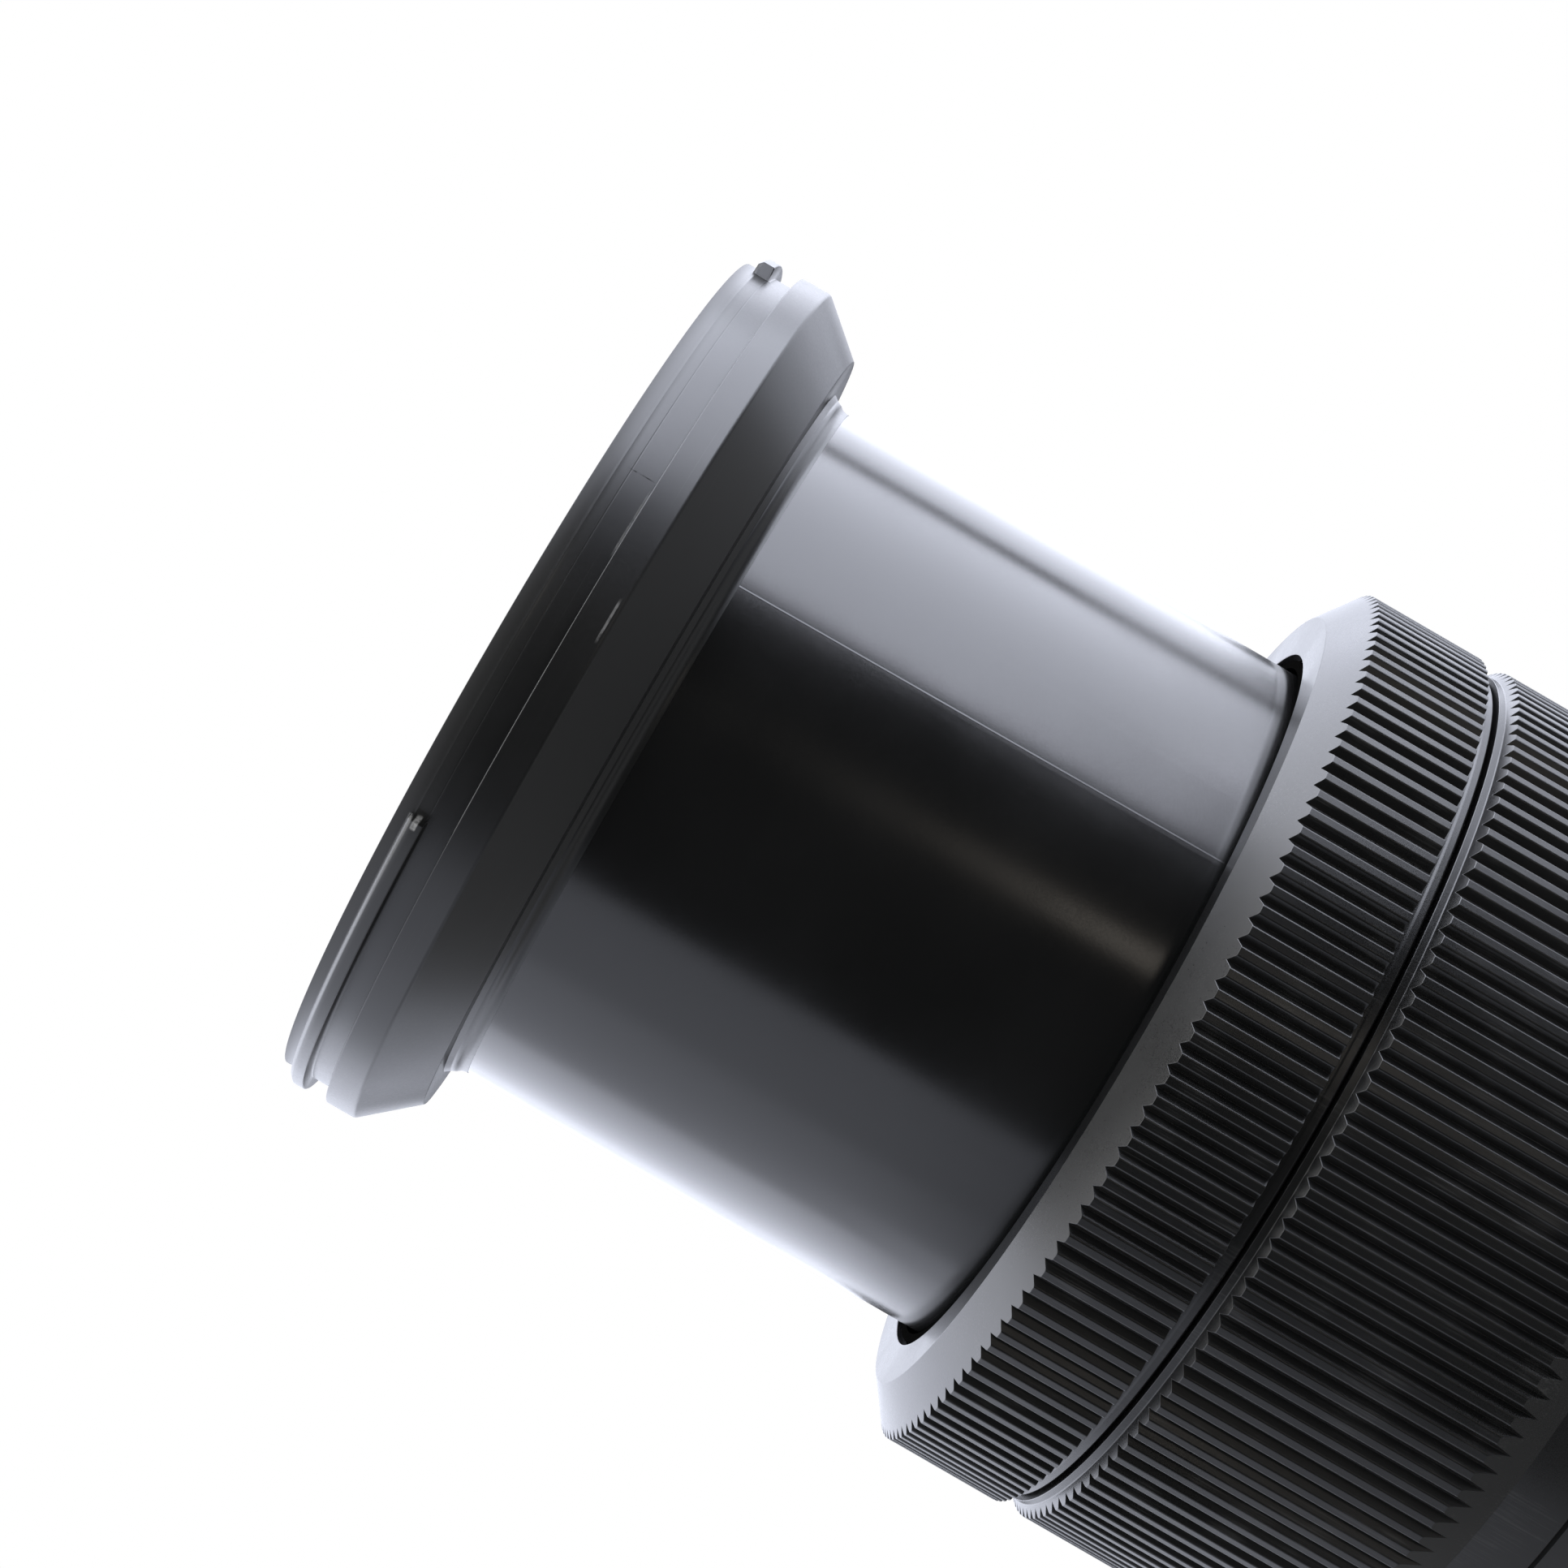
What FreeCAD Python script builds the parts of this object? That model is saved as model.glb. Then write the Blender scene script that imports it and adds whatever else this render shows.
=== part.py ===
"""A compact standard zoom lens for a mirrorless camera, drawn out to its long end.

Millimetres. Z is the optical axis and points to the front; the origin is the middle of the mount's
flange face. Angles are measured about Z from +X, and the photograph looks along +Y.
"""
import FreeCAD, Part
import math
import os

os.makedirs("parts", exist_ok=True)

# Fits and gaps
running_gap = 0.08
seat_gap = 0.02
air_gap = 0.3
screw_gap = 0.03

# Travel of the zoom
zoom_angle = 65.0
barrel_travel = 30.5
group_travel = 12.0

# Lengths along the axis, from the mount to the front
rear_barrel_length = 28.6
zoom_ring_length = 23.35
focus_ring_length = 10.75
tube_shown = 32.4
front_ring_length = 9.95

# Grips of the two rings
grip_radius = 30.8
rib_count = 142
rib_top_share = 0.45
groove_depth = 0.8
groove_phase = -89.83
ring_wall = 1.4

# Sliding tube and what it runs in
tube_below_grip = 6.7
tube_wall = 1.2
tube_support = 16.5
guide_gap = 0.35
guide_wall = 1.0
cam_wall = 1.07
sleeve_wall = 1.73
barrel_gap = 1.1

# Focus ring
focus_face_drop = 2.8
focus_chamfer_length = 2.5
focus_band_length = 0.95
focus_band_drop = 0.95
focus_band_groove = 0.3
focus_band_groove_width = 0.35
focus_lip = 0.7
focus_land = 2.1

# Zoom ring
zoom_rim_drop = 1.2
zoom_rim_length = 0.36
zoom_chamfer_length = 0.84
zoom_tail_drop = 1.55
zoom_tail_length = 2.85
zoom_cone_length = 4.1
zoom_land = 2.6

# Front ring
front_drop = 1.6
ridge_height = 0.9
ridge_length = 1.97
ridge_rise = 0.15
ridge_round = 0.42
ridge_from_front = 3.45
flare_drop = 2.0
neck_wall = 0.9
neck_length = 1.1
neck_chamfer = 0.7
web_from_neck = 2.2
lug_from_front = 0.7
lug_width = 1.15
lug_bevel = 0.3
lug_angle = 87.5
lug_count = 2
lug_start = -110.5
filter_wall = 1.9
filter_depth = 3.85
bezel_seat_step = 0.3
bezel_seat_depth = 4.8

# Mount
flange_drop = 2.0
flange_thickness = 2.0
bayonet_depth = 4.6
bayonet_inset = 7.4
bayonet_wall = 1.8
bayonet_lug_height = 1.5
bayonet_lug_thickness = 1.4
bayonet_lug_angle = 55.0
bayonet_lug_count = 3
mount_screw_inset = 2.6
mount_screw_count = 4
lock_hole_radius = 1.6
lock_hole_depth = 1.2

# Rear barrel
barrel_wall = 1.65
barrel_collar_step = 0.95
barrel_collar_length = 8.1
barrel_taper_length = 8.0
barrel_flange_width = 7.2
barrel_flange_thickness = 2.2
gasket_width = 0.75
gasket_lip = 0.7
index_radius = 1.1
index_height = 6.0
index_angle = -50.0

# Cam and followers
follower_radius = 1.25
follower_height = 49.0
group_follower_height = 34.0
group_follower_angle = 60.0
follower_count = 3
slot_gap = 0.1

# Front lens cell
cell_length = 14.5
cell_flange = 1.0
front_glass_inset = 2.5
inner_glass_seat = 1.2
inner_glass_rim = 3.4
inner_glass_rear_bulge = -1.5
inner_glass_front_bulge = -2.4

# Middle group
carrier_length = 30.0
carrier_rear = 27.0
carrier_gap = 0.5
carrier_wall = 1.9
bulkhead_thickness = 1.5
rear_plate_thickness = 1.4
middle_glass_inset = 8.9
middle_cell_wall = 1.6
plate_screw_count = 3
plate_screw_angle = 30.0

# Iris
blade_count = 7
blade_turn = 33.0
blade_thickness = 0.05
blade_slope = 0.09
blade_slope_angle = 158.0
blade_span = 122.0
pivot_inset = 7.9
blade_outer_step = 1.1
pivot_radius = 0.4
blade_end = 1.1
drive_pin_gap = 0.12
drive_wall = 0.2
pivot_lift = 0.25
stack_gap = 0.13
slot_steps = 6
iris_floor = 46.4
iris_floor_thickness = 0.8
iris_cavity_step = 2.0
iris_wall = 2.2
drive_ring_thickness = 0.7
drive_ring_step = 0.4

# Focus group
focus_glass_inset = 9.7
focus_holder_wall = 1.4
focus_holder_length = 5.0
rod_radius = 0.75
rod_inset = 3.6

# Rear group
rear_cell_inset = 6.7
rear_cell_wall = 1.7
rear_cell_rear = -3.0
rear_cell_front = 12.5
rear_flange_thickness = 1.0

# Heights and radii worked out from the sizes above
zoom_rear = rear_barrel_length + 0.25
zoom_front = zoom_rear + zoom_ring_length
focus_rear = zoom_front + 0.35
focus_front = focus_rear + focus_ring_length
neck_height = focus_front + tube_shown
front_height = neck_height + front_ring_length
tube_radius = grip_radius - tube_below_grip
tube_bore = tube_radius - tube_wall
guide_bore = tube_radius + guide_gap
guide_radius = guide_bore + guide_wall
cam_bore = guide_radius + running_gap
cam_radius = cam_bore + cam_wall
sleeve_bore = guide_radius + seat_gap
sleeve_radius = sleeve_bore + sleeve_wall
barrel_bore = cam_radius + barrel_gap
barrel_front_radius = barrel_bore + barrel_wall
barrel_collar_radius = barrel_front_radius + barrel_collar_step
focus_face_radius = grip_radius - focus_face_drop
zoom_rim_radius = grip_radius - zoom_rim_drop
zoom_tail_radius = grip_radius - zoom_tail_drop
front_radius = grip_radius - front_drop
ridge_radius = front_radius + ridge_height
flare_radius = front_radius - flare_drop
neck_radius = tube_radius + neck_wall
filter_radius = front_radius - filter_wall
bezel_seat_radius = filter_radius - bezel_seat_step
flange_radius = grip_radius - flange_drop
mount_screw_circle = flange_radius - mount_screw_inset
bayonet_radius = flange_radius - bayonet_inset
bayonet_bore = bayonet_radius - bayonet_wall
bayonet_lug_radius = bayonet_radius + bayonet_lug_height
groove_radius = grip_radius - groove_depth
relief_radius = groove_radius - ring_wall
tube_rear = focus_front - tube_support
carrier_radius = tube_bore - carrier_gap
carrier_bore = carrier_radius - carrier_wall
carrier_front = carrier_rear + carrier_length
front_glass_radius = tube_bore - front_glass_inset
middle_glass_radius = carrier_bore - middle_glass_inset
pivot_circle = carrier_bore - pivot_inset
blade_outer = pivot_circle + blade_outer_step
iris_cavity = pivot_circle + iris_cavity_step
drive_ring_radius = iris_cavity + drive_ring_step
focus_glass_radius = carrier_bore - focus_glass_inset
rod_circle = carrier_bore - rod_inset
flange_top = flange_thickness + barrel_flange_thickness


def vector(x, y, z):
    return FreeCAD.Vector(x, y, z)


def on_axis(z):
    return vector(0, 0, z)


def disc(radius, low, high):
    return Part.makeCylinder(radius, high - low, on_axis(low))


def ring(inner, outer, low, high):
    return disc(outer, low, high).cut(disc(inner, low - 1, high + 1))


def turned(shape, angle):
    copy = shape.copy()
    copy.rotate(on_axis(0), vector(0, 0, 1), angle)
    return copy


def around(shape, count, start=0.0):
    return [turned(shape, start + 360.0 * i / count) for i in range(count)]


def revolved(outline):
    """Turns a closed outline of (radius, height) corners about the axis."""
    corners = [vector(r, 0, z) for r, z in outline]
    face = Part.Face(Part.makePolygon(corners + corners[:1]))
    return face.revolve(on_axis(0), vector(0, 0, 1), 360)


def ring_sector(inner, outer, low, high, start, span):
    """A piece of a ring that begins at the angle start and runs on by span."""
    body = Part.makeCylinder(outer, high - low, on_axis(low), vector(0, 0, 1), span)
    return turned(body.cut(disc(inner, low - 1, high + 1)), start)


def radial_pin(radius, inner, outer, height):
    """A cylinder that points outward along X."""
    return Part.makeCylinder(radius, outer - inner, vector(inner, 0, height), vector(1, 0, 0))


def upright_pin(radius, circle, low, high):
    """A cylinder along Z that stands on a circle about the axis, at +X."""
    return Part.makeCylinder(radius, high - low, vector(circle, 0, low))


def box(x0, x1, y0, y1, z0, z1):
    return Part.makeBox(x1 - x0, y1 - y0, z1 - z0, vector(x0, y0, z0))


def group(solids):
    return Part.makeCompound(solids)


def point_on(radius, angle):
    return vector(radius * math.cos(math.radians(angle)), radius * math.sin(math.radians(angle)), 0)


def screw(circle, seat, head_radius, head_height, shaft_radius, depth, upward=True):
    """A screw along Z: its head stands on the seat and its shaft goes down below it."""
    sign = 1 if upward else -1
    head = Part.makeCylinder(head_radius, head_height, vector(circle, 0, seat), vector(0, 0, sign))
    shaft = Part.makeCylinder(shaft_radius, depth, vector(circle, 0, seat), vector(0, 0, -sign))
    return head.fuse(shaft).removeSplitter()


# Grips

def ribbed_prism(low, high):
    """A prism whose section has one flat-topped rib and one V groove per pitch."""
    pitch = 360.0 / rib_count
    half_top = pitch * rib_top_share / 2
    corners = []
    for i in range(rib_count):
        groove = groove_phase + i * pitch
        corners.append(point_on(groove_radius, groove))
        corners.append(point_on(grip_radius, groove + pitch / 2 - half_top))
        corners.append(point_on(grip_radius, groove + pitch / 2 + half_top))
    section = Part.Face(Part.makePolygon(corners + corners[:1]))
    section.translate(on_axis(low))
    return section.extrude(on_axis(high - low))


def ribbed_ring(outline, low, high):
    """A turned ring whose outline cuts the ribs off at an angle, which gives the grooves their points."""
    return revolved(outline).common(ribbed_prism(low - 1, high + 1)).removeSplitter()


grip_clear = grip_radius + 0.1


def make_focus_ring():
    chamfer_slope = (grip_radius - focus_face_radius) / focus_chamfer_length
    chamfer_end = focus_front - (grip_clear - focus_face_radius) / chamfer_slope
    band_radius = grip_radius - focus_band_drop
    band_top = focus_rear + focus_band_length
    groove_rear = band_top - focus_band_groove_width
    bore = sleeve_radius + running_gap
    lip_bore = collar_radius + air_gap
    comb_seat = focus_rear + focus_land
    outline = [
        (comb_bore, focus_rear),
        (band_radius - 0.3, focus_rear),
        (band_radius, focus_rear + 0.3),
        (band_radius, groove_rear),
        (band_radius - focus_band_groove, groove_rear + 0.1),
        (band_radius - focus_band_groove, band_top),
        (grip_clear, band_top + 0.1),
        (grip_clear, chamfer_end),
        (focus_face_radius, focus_front),
        (lip_bore, focus_front),
        (lip_bore, focus_front - focus_lip),
        (bore, focus_front - focus_lip),
        (bore, comb_seat),
        (comb_bore, comb_seat),
    ]
    shape = ribbed_ring(outline, focus_rear, focus_front)
    groove = ring(bore - 0.5, bore + 0.6, snap_height - 0.2, snap_height + snap_thickness + 0.2)
    return shape.cut(groove)


def make_zoom_ring():
    chamfer_start = zoom_front - zoom_rim_length
    chamfer_slope = (grip_radius - zoom_rim_radius) / zoom_chamfer_length
    chamfer_end = chamfer_start - (grip_clear - zoom_rim_radius) / chamfer_slope
    tail_top = zoom_rear + zoom_tail_length
    cone_slope = (grip_radius - zoom_tail_radius) / zoom_cone_length
    cone_top = tail_top + (grip_clear - zoom_tail_radius) / cone_slope
    bore = cam_radius + 0.05
    front_bore = sleeve_radius + 0.4
    outline = [
        (bore, zoom_rear),
        (zoom_tail_radius - 0.2, zoom_rear),
        (zoom_tail_radius, zoom_rear + 0.2),
        (zoom_tail_radius, tail_top),
        (grip_clear, cone_top),
        (grip_clear, chamfer_end),
        (zoom_rim_radius, chamfer_start),
        (zoom_rim_radius, zoom_front - 0.1),
        (zoom_rim_radius - 0.1, zoom_front),
        (front_bore, zoom_front),
        (front_bore, cam_front),
        (bore, cam_front),
    ]
    shape = ribbed_ring(outline, zoom_rear, zoom_front)
    relief = ring(bore - 0.5, relief_radius, zoom_rear + zoom_land, cam_front - zoom_land)
    pockets = [turned(key_pocket(), a) for a in key_angles]
    return shape.cut(relief).cut(group(pockets))


# Cam, guide and keys

cam_rear = 15.0
cam_front = zoom_front - 0.8
key_width = 4.0
key_height = 1.8
key_angles = (30.0, 150.0, 270.0)


def key_block(gap, top):
    """The block that joins cam barrel and zoom ring, or with a gap all round the pocket it sits in."""
    half = key_width / 2 + gap
    return box(cam_bore + 0.1 - gap, cam_radius + 0.95 + gap, -half, half, cam_front - key_height - gap, top)


def key_pocket():
    return key_block(seat_gap, cam_front + 1.0)


def make_zoom_keys():
    return group([turned(key_block(0.0, cam_front), a) for a in key_angles])


def slot_half_width():
    return follower_radius + slot_gap


def helical_slot(top, drop):
    """A slot that falls by drop while it turns by the zoom angle, with round ends."""
    middle = (cam_bore + cam_radius) / 2
    rise = math.radians(zoom_angle) * middle
    half_height = slot_half_width() * math.hypot(rise, drop) / rise
    inner = cam_bore - 0.5
    outer = cam_radius + 0.5
    helix = Part.makeHelix(drop * 360.0 / zoom_angle, drop, middle)
    corners = [vector(inner, 0, -half_height), vector(outer, 0, -half_height),
               vector(outer, 0, half_height), vector(inner, 0, half_height)]
    section = Part.makePolygon(corners + corners[:1])
    band = Part.Wire(helix.Edges).makePipeShell([section], True, True)
    band = band.mirror(on_axis(0), vector(0, 0, 1))
    band.translate(on_axis(top))
    ends = [turned(radial_pin(slot_half_width(), inner, outer, top - drop * share), zoom_angle * share)
            for share in (0.0, 0.02, 0.98, 1.0)]
    return [band] + ends


def make_cam_barrel():
    shape = ring(cam_bore, cam_radius, cam_rear, cam_front)
    for top, drop, start in ((follower_height, barrel_travel, 0.0),
                             (group_follower_height, group_travel, group_follower_angle)):
        for tool in helical_slot(top, drop):
            for copy in around(tool, follower_count, start):
                shape = shape.cut(copy)
    for angle in key_angles:
        shape = shape.cut(turned(key_pocket(), angle))
    return shape


def straight_slot(inner, outer, low, high):
    """A slot along Z with round ends, pointing outward along X."""
    half = slot_half_width()
    middle = box(inner, outer, -half, half, low, high)
    ends = [radial_pin(half, inner, outer, z) for z in (low, high)]
    return middle.fuse(ends)


guide_front = focus_front - focus_lip - 0.2
felt_bore = tube_radius + 0.05
collar_radius = guide_bore + 0.55
felt_height = 0.95
collar_rear = guide_front - 0.4
felt_rear = collar_rear - felt_height
guide_flange_radius = barrel_bore - 0.1
guide_flange_thickness = 1.8
guide_screw_circle = guide_radius + 1.0
board_outer = tube_radius - 0.2
rear_screw_circle = board_outer - 1.6
barrel_flange_bore = barrel_bore - barrel_flange_width


def make_guide_tube():
    outline = [
        (guide_bore, flange_top),
        (guide_flange_radius, flange_top),
        (guide_flange_radius, flange_top + guide_flange_thickness),
        (guide_radius, flange_top + guide_flange_thickness),
        (guide_radius, cam_rear - 1.6),
        (cam_radius - 0.1, cam_rear - 1.6),
        (cam_radius - 0.1, cam_rear - running_gap),
        (guide_radius, cam_rear - running_gap),
        (guide_radius, guide_front),
        (collar_radius, guide_front),
        (collar_radius, felt_rear),
        (guide_bore, felt_rear),
    ]
    shape = revolved(outline)
    front_slot = straight_slot(guide_bore - 1, guide_radius + 0.5, follower_height - barrel_travel, follower_height)
    group_slot = straight_slot(guide_bore - 1, guide_radius + 0.5,
                               group_follower_height - group_travel, group_follower_height)
    for slot in around(front_slot, follower_count) + around(group_slot, follower_count, group_follower_angle):
        shape = shape.cut(slot)
    hole = upright_pin(0.6 + screw_gap, guide_screw_circle, flange_top - 1, flange_top + 3)
    return shape.cut(group(around(hole, 3, 90.0)))


def make_barrel_screws():
    """Six like screws: three hold the guide tube and three the rear lens cell."""
    guide = screw(guide_screw_circle, flange_top + guide_flange_thickness, 1.0, 0.7, 0.6, 2.9)
    rear = screw(rear_screw_circle, flange_top + rear_flange_thickness, 1.0, 0.7, 0.6, 2.9)
    return group(around(guide, 3, 90.0) + around(rear, 3, 60.0))


# Focus sleeve and what sits on it

snap_height = focus_front - 5.3
snap_thickness = 0.8
comb_bore = sleeve_radius + 1.6
comb_wall = 0.6
comb_height = 1.0
comb_slits = 36
sleeve_flange = 0.6
sleeve_flange_rear = focus_rear + 0.2


def make_focus_sleeve():
    outline = [
        (sleeve_bore, cam_front + 0.3),
        (sleeve_radius, cam_front + 0.3),
        (sleeve_radius, sleeve_flange_rear),
        (comb_bore - 0.3, sleeve_flange_rear),
        (comb_bore - 0.3, sleeve_flange_rear + sleeve_flange),
        (sleeve_radius, sleeve_flange_rear + sleeve_flange),
        (sleeve_radius, snap_height),
        (sleeve_radius - 0.5, snap_height),
        (sleeve_radius - 0.5, snap_height + snap_thickness),
        (sleeve_radius, snap_height + snap_thickness),
        (sleeve_radius, guide_front - 0.1),
        (sleeve_bore, guide_front - 0.1),
    ]
    return revolved(outline)


def make_snap_ring():
    inner = sleeve_radius - 0.5 + seat_gap
    return ring_sector(inner, sleeve_radius + 0.5, snap_height + seat_gap,
                       snap_height + snap_thickness - seat_gap, 10.0, 340.0)


def make_focus_comb():
    top = focus_rear + focus_land
    shape = ring(comb_bore - comb_wall, comb_bore - seat_gap, top - comb_height, top)
    slit_angle = 180.0 / comb_slits
    slit = ring_sector(comb_bore - comb_wall - 0.5, comb_bore + 0.5, top - comb_height - 0.5,
                       top - comb_height / 2, 0.0, slit_angle)
    return shape.cut(group(around(slit, comb_slits)))


def make_focus_sensor():
    low = sleeve_flange_rear + sleeve_flange
    high = focus_rear + focus_land - 0.1
    return ring_sector(sleeve_radius + 0.05, comb_bore - comb_wall - 0.2, low, high, 40.0, 9.0)


def make_felt_ring():
    return ring(felt_bore, collar_radius - seat_gap, felt_rear, collar_rear)


def make_front_collar():
    return ring(guide_bore - 0.05, collar_radius - seat_gap, collar_rear, focus_front - 0.2)


# Zoom position reader

brush_height = cam_rear + 3.0
brush_angle = 283.0
brush_span = 7.0
brush_length = 2.0


def make_zoom_brush():
    top = brush_height + brush_length
    base = ring_sector(cam_radius, cam_radius + 0.3, brush_height, top, brush_angle, brush_span)
    fingers = [ring_sector(cam_radius + 0.3, barrel_bore - 0.4, brush_height + z, brush_height + z + 0.4,
                           brush_angle, 1.0) for z in (0.2, 0.8, 1.4)]
    return base.fuse(fingers).removeSplitter()


def make_zoom_strip():
    return ring_sector(barrel_bore - 0.35, barrel_bore, brush_height - 0.5, brush_height + 2.5,
                       brush_angle - zoom_angle - 10.0, zoom_angle + 24.0)


# Sliding tube

web_top = neck_height + web_from_neck
tube_flange = 1.1
tube_top = web_top + tube_flange
tube_flange_radius = tube_radius + 2.4
front_screw_circle = tube_radius + 1.3
roller_gap = 0.05
roller_tip = cam_radius - 0.2
notch_depth = (group_follower_height - group_travel) - (tube_rear - barrel_travel) + follower_radius + 0.9


def make_sliding_tube():
    outline = [
        (tube_bore, tube_rear),
        (tube_radius, tube_rear),
        (tube_radius, web_top),
        (tube_flange_radius, web_top),
        (tube_flange_radius, tube_top),
        (tube_bore, tube_top),
    ]
    shape = revolved(outline)
    half = follower_radius + 0.9
    notch = box(tube_bore - 1, tube_radius + 1, -half, half, tube_rear - 1, tube_rear + notch_depth - half)
    notch = notch.fuse(radial_pin(half, tube_bore - 1, tube_radius + 1, tube_rear + notch_depth - half))
    hole = radial_pin(follower_shaft + screw_gap, tube_bore - 1, tube_radius + 1, follower_height)
    screw_hole = upright_pin(0.5 + screw_gap, front_screw_circle, web_top - 1, tube_top + 1)
    shape = shape.cut(group(around(notch, follower_count, group_follower_angle)))
    shape = shape.cut(group(around(hole, follower_count)))
    return shape.cut(group(around(screw_hole, 3, 90.0)))


follower_shaft = 0.55
follower_head = 0.9


def roller(inner, height):
    """A collar that rolls in the cam slot, counterbored for its screw's head."""
    body = radial_pin(follower_radius, inner, roller_tip, height)
    body = body.cut(radial_pin(follower_shaft + screw_gap, inner - 1, roller_tip + 1, height))
    return body.cut(radial_pin(follower_head + screw_gap, roller_tip - 0.45, roller_tip + 1, height))


def follower_screw(inner, height):
    shaft = radial_pin(follower_shaft, inner, roller_tip - 0.45, height)
    head = radial_pin(follower_head, roller_tip - 0.45, roller_tip - 0.1, height)
    return shaft.fuse(head).removeSplitter()


def make_barrel_rollers():
    return group(around(roller(tube_radius + roller_gap, follower_height), follower_count))


def make_barrel_roller_screws():
    return group(around(follower_screw(tube_bore + 0.1, follower_height), follower_count))


# Front ring

def make_front_ring():
    ridge_front = front_height - ridge_from_front + ridge_rise
    ridge_rear = front_height - ridge_from_front - ridge_length
    flare_slope = (ridge_radius - flare_radius) / (ridge_rear - neck_height - neck_length)
    step_bore = tube_flange_radius + 0.1
    neck_bore = tube_radius + 0.05
    outline = [
        (neck_bore, neck_height),
        (neck_radius, neck_height + neck_chamfer),
        (neck_radius, neck_height + neck_length),
        (flare_radius, neck_height + neck_length),
        (ridge_radius - ridge_round * flare_slope, ridge_rear - ridge_round),
        (ridge_radius - ridge_round * flare_slope / 3, ridge_rear),
        (ridge_radius, ridge_rear + ridge_round),
        (ridge_radius, ridge_front - ridge_rise),
        (front_radius, ridge_front),
        (front_radius, front_height - 0.12),
        (front_radius - 0.12, front_height),
        (filter_radius + 0.6, front_height),
        (filter_radius, front_height - 0.5),
        (filter_radius, front_height - filter_depth),
        (bezel_seat_radius, front_height - filter_depth),
        (bezel_seat_radius, front_height - bezel_seat_depth),
        (step_bore, front_height - bezel_seat_depth),
        (step_bore, web_top),
        (neck_bore, web_top),
    ]
    shape = revolved(outline)
    lug_front = front_height - lug_from_front
    lug_outline = [
        (front_radius - 0.5, lug_front - lug_width),
        (ridge_radius, lug_front - lug_width),
        (ridge_radius, lug_front - lug_bevel),
        (ridge_radius - lug_bevel, lug_front),
        (front_radius - 0.5, lug_front),
    ]
    corners = [vector(r, 0, z) for r, z in lug_outline]
    face = Part.Face(Part.makePolygon(corners + corners[:1]))
    lug = face.revolve(on_axis(0), vector(0, 0, 1), -lug_angle)
    shape = shape.fuse(around(lug, lug_count, lug_start)).removeSplitter()
    hole = upright_pin(0.5 + screw_gap, front_screw_circle, web_top - 1.0, web_top + 1)
    return shape.cut(group(around(hole, 3, 90.0)))


def make_front_ring_screws():
    return group(around(screw(front_screw_circle, tube_top, 0.9, 0.6, 0.5, tube_flange + 0.9), 3, 90.0))


# Front lenses and their cell

cell_radius = tube_bore - 0.05
cell_bore = front_glass_radius + seat_gap
cell_front = tube_top + cell_flange
cell_rear = tube_top - cell_length
front_shelf = cell_front - 5.6
inner_glass_radius = front_glass_radius - 1.4
bezel_rear = cell_front + 0.05


def surface_height(radius, bulge, at):
    """How far a lens surface stands out from its edge, at a given distance from the axis."""
    sphere = (radius * radius + bulge * bulge) / (2 * abs(bulge))
    drop = sphere - math.sqrt(sphere * sphere - at * at)
    return math.copysign(abs(bulge) - drop, bulge)


def lens(radius, rear, front, rear_bulge, front_bulge):
    """A lens with a ground rim; a bulge is how far a surface's middle stands out from its edge."""
    rim_rear = vector(radius, 0, rear)
    rim_front = vector(radius, 0, front)
    apex_rear = on_axis(rear - rear_bulge)
    apex_front = on_axis(front + front_bulge)
    half = radius / 2
    rear_middle = vector(half, 0, rear - surface_height(radius, rear_bulge, half))
    front_middle = vector(half, 0, front + surface_height(radius, front_bulge, half))
    edges = [
        Part.Arc(rim_rear, rear_middle, apex_rear).toShape(),
        Part.LineSegment(apex_rear, apex_front).toShape(),
        Part.Arc(apex_front, front_middle, rim_front).toShape(),
        Part.LineSegment(rim_front, rim_rear).toShape(),
    ]
    return Part.Face(Part.Wire(edges)).revolve(on_axis(0), vector(0, 0, 1), 360)


def retaining_ring(radius, low, bulge):
    """The ring that holds a lens in its cell; its underside lies along the lens's surface."""
    inner = radius - 1.3
    outer = radius - 0.05
    rise = max(surface_height(radius, bulge, inner), 0.0)
    return revolved([(outer, low + seat_gap), (outer, low + rise + 0.9), (inner, low + rise + 0.9),
                     (inner, low + rise + seat_gap * 2)])


def make_front_lens_cell():
    outline = [
        (inner_glass_radius - 1.2, cell_rear),
        (cell_radius, cell_rear),
        (cell_radius, tube_top),
        (tube_radius + 0.2, tube_top),
        (tube_radius + 0.2, cell_front),
        (cell_bore, cell_front),
        (cell_bore, front_shelf),
        (inner_glass_radius + seat_gap, front_shelf),
        (inner_glass_radius + seat_gap, cell_rear + inner_glass_seat),
        (inner_glass_radius - 1.2, cell_rear + inner_glass_seat),
    ]
    return revolved(outline)


front_lens_rim = 3.2
front_lens_bulge = 2.4


def make_front_lens():
    return lens(front_glass_radius, front_shelf, front_shelf + front_lens_rim, -2.6, front_lens_bulge)


def make_front_lens_ring():
    return retaining_ring(front_glass_radius, front_shelf + front_lens_rim, front_lens_bulge)


def make_front_inner_lens():
    low = cell_rear + inner_glass_seat
    return lens(inner_glass_radius, low, low + inner_glass_rim, inner_glass_rear_bulge, inner_glass_front_bulge)


def make_front_inner_ring():
    low = cell_rear + inner_glass_seat + inner_glass_rim
    return retaining_ring(inner_glass_radius, low, inner_glass_front_bulge)


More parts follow.
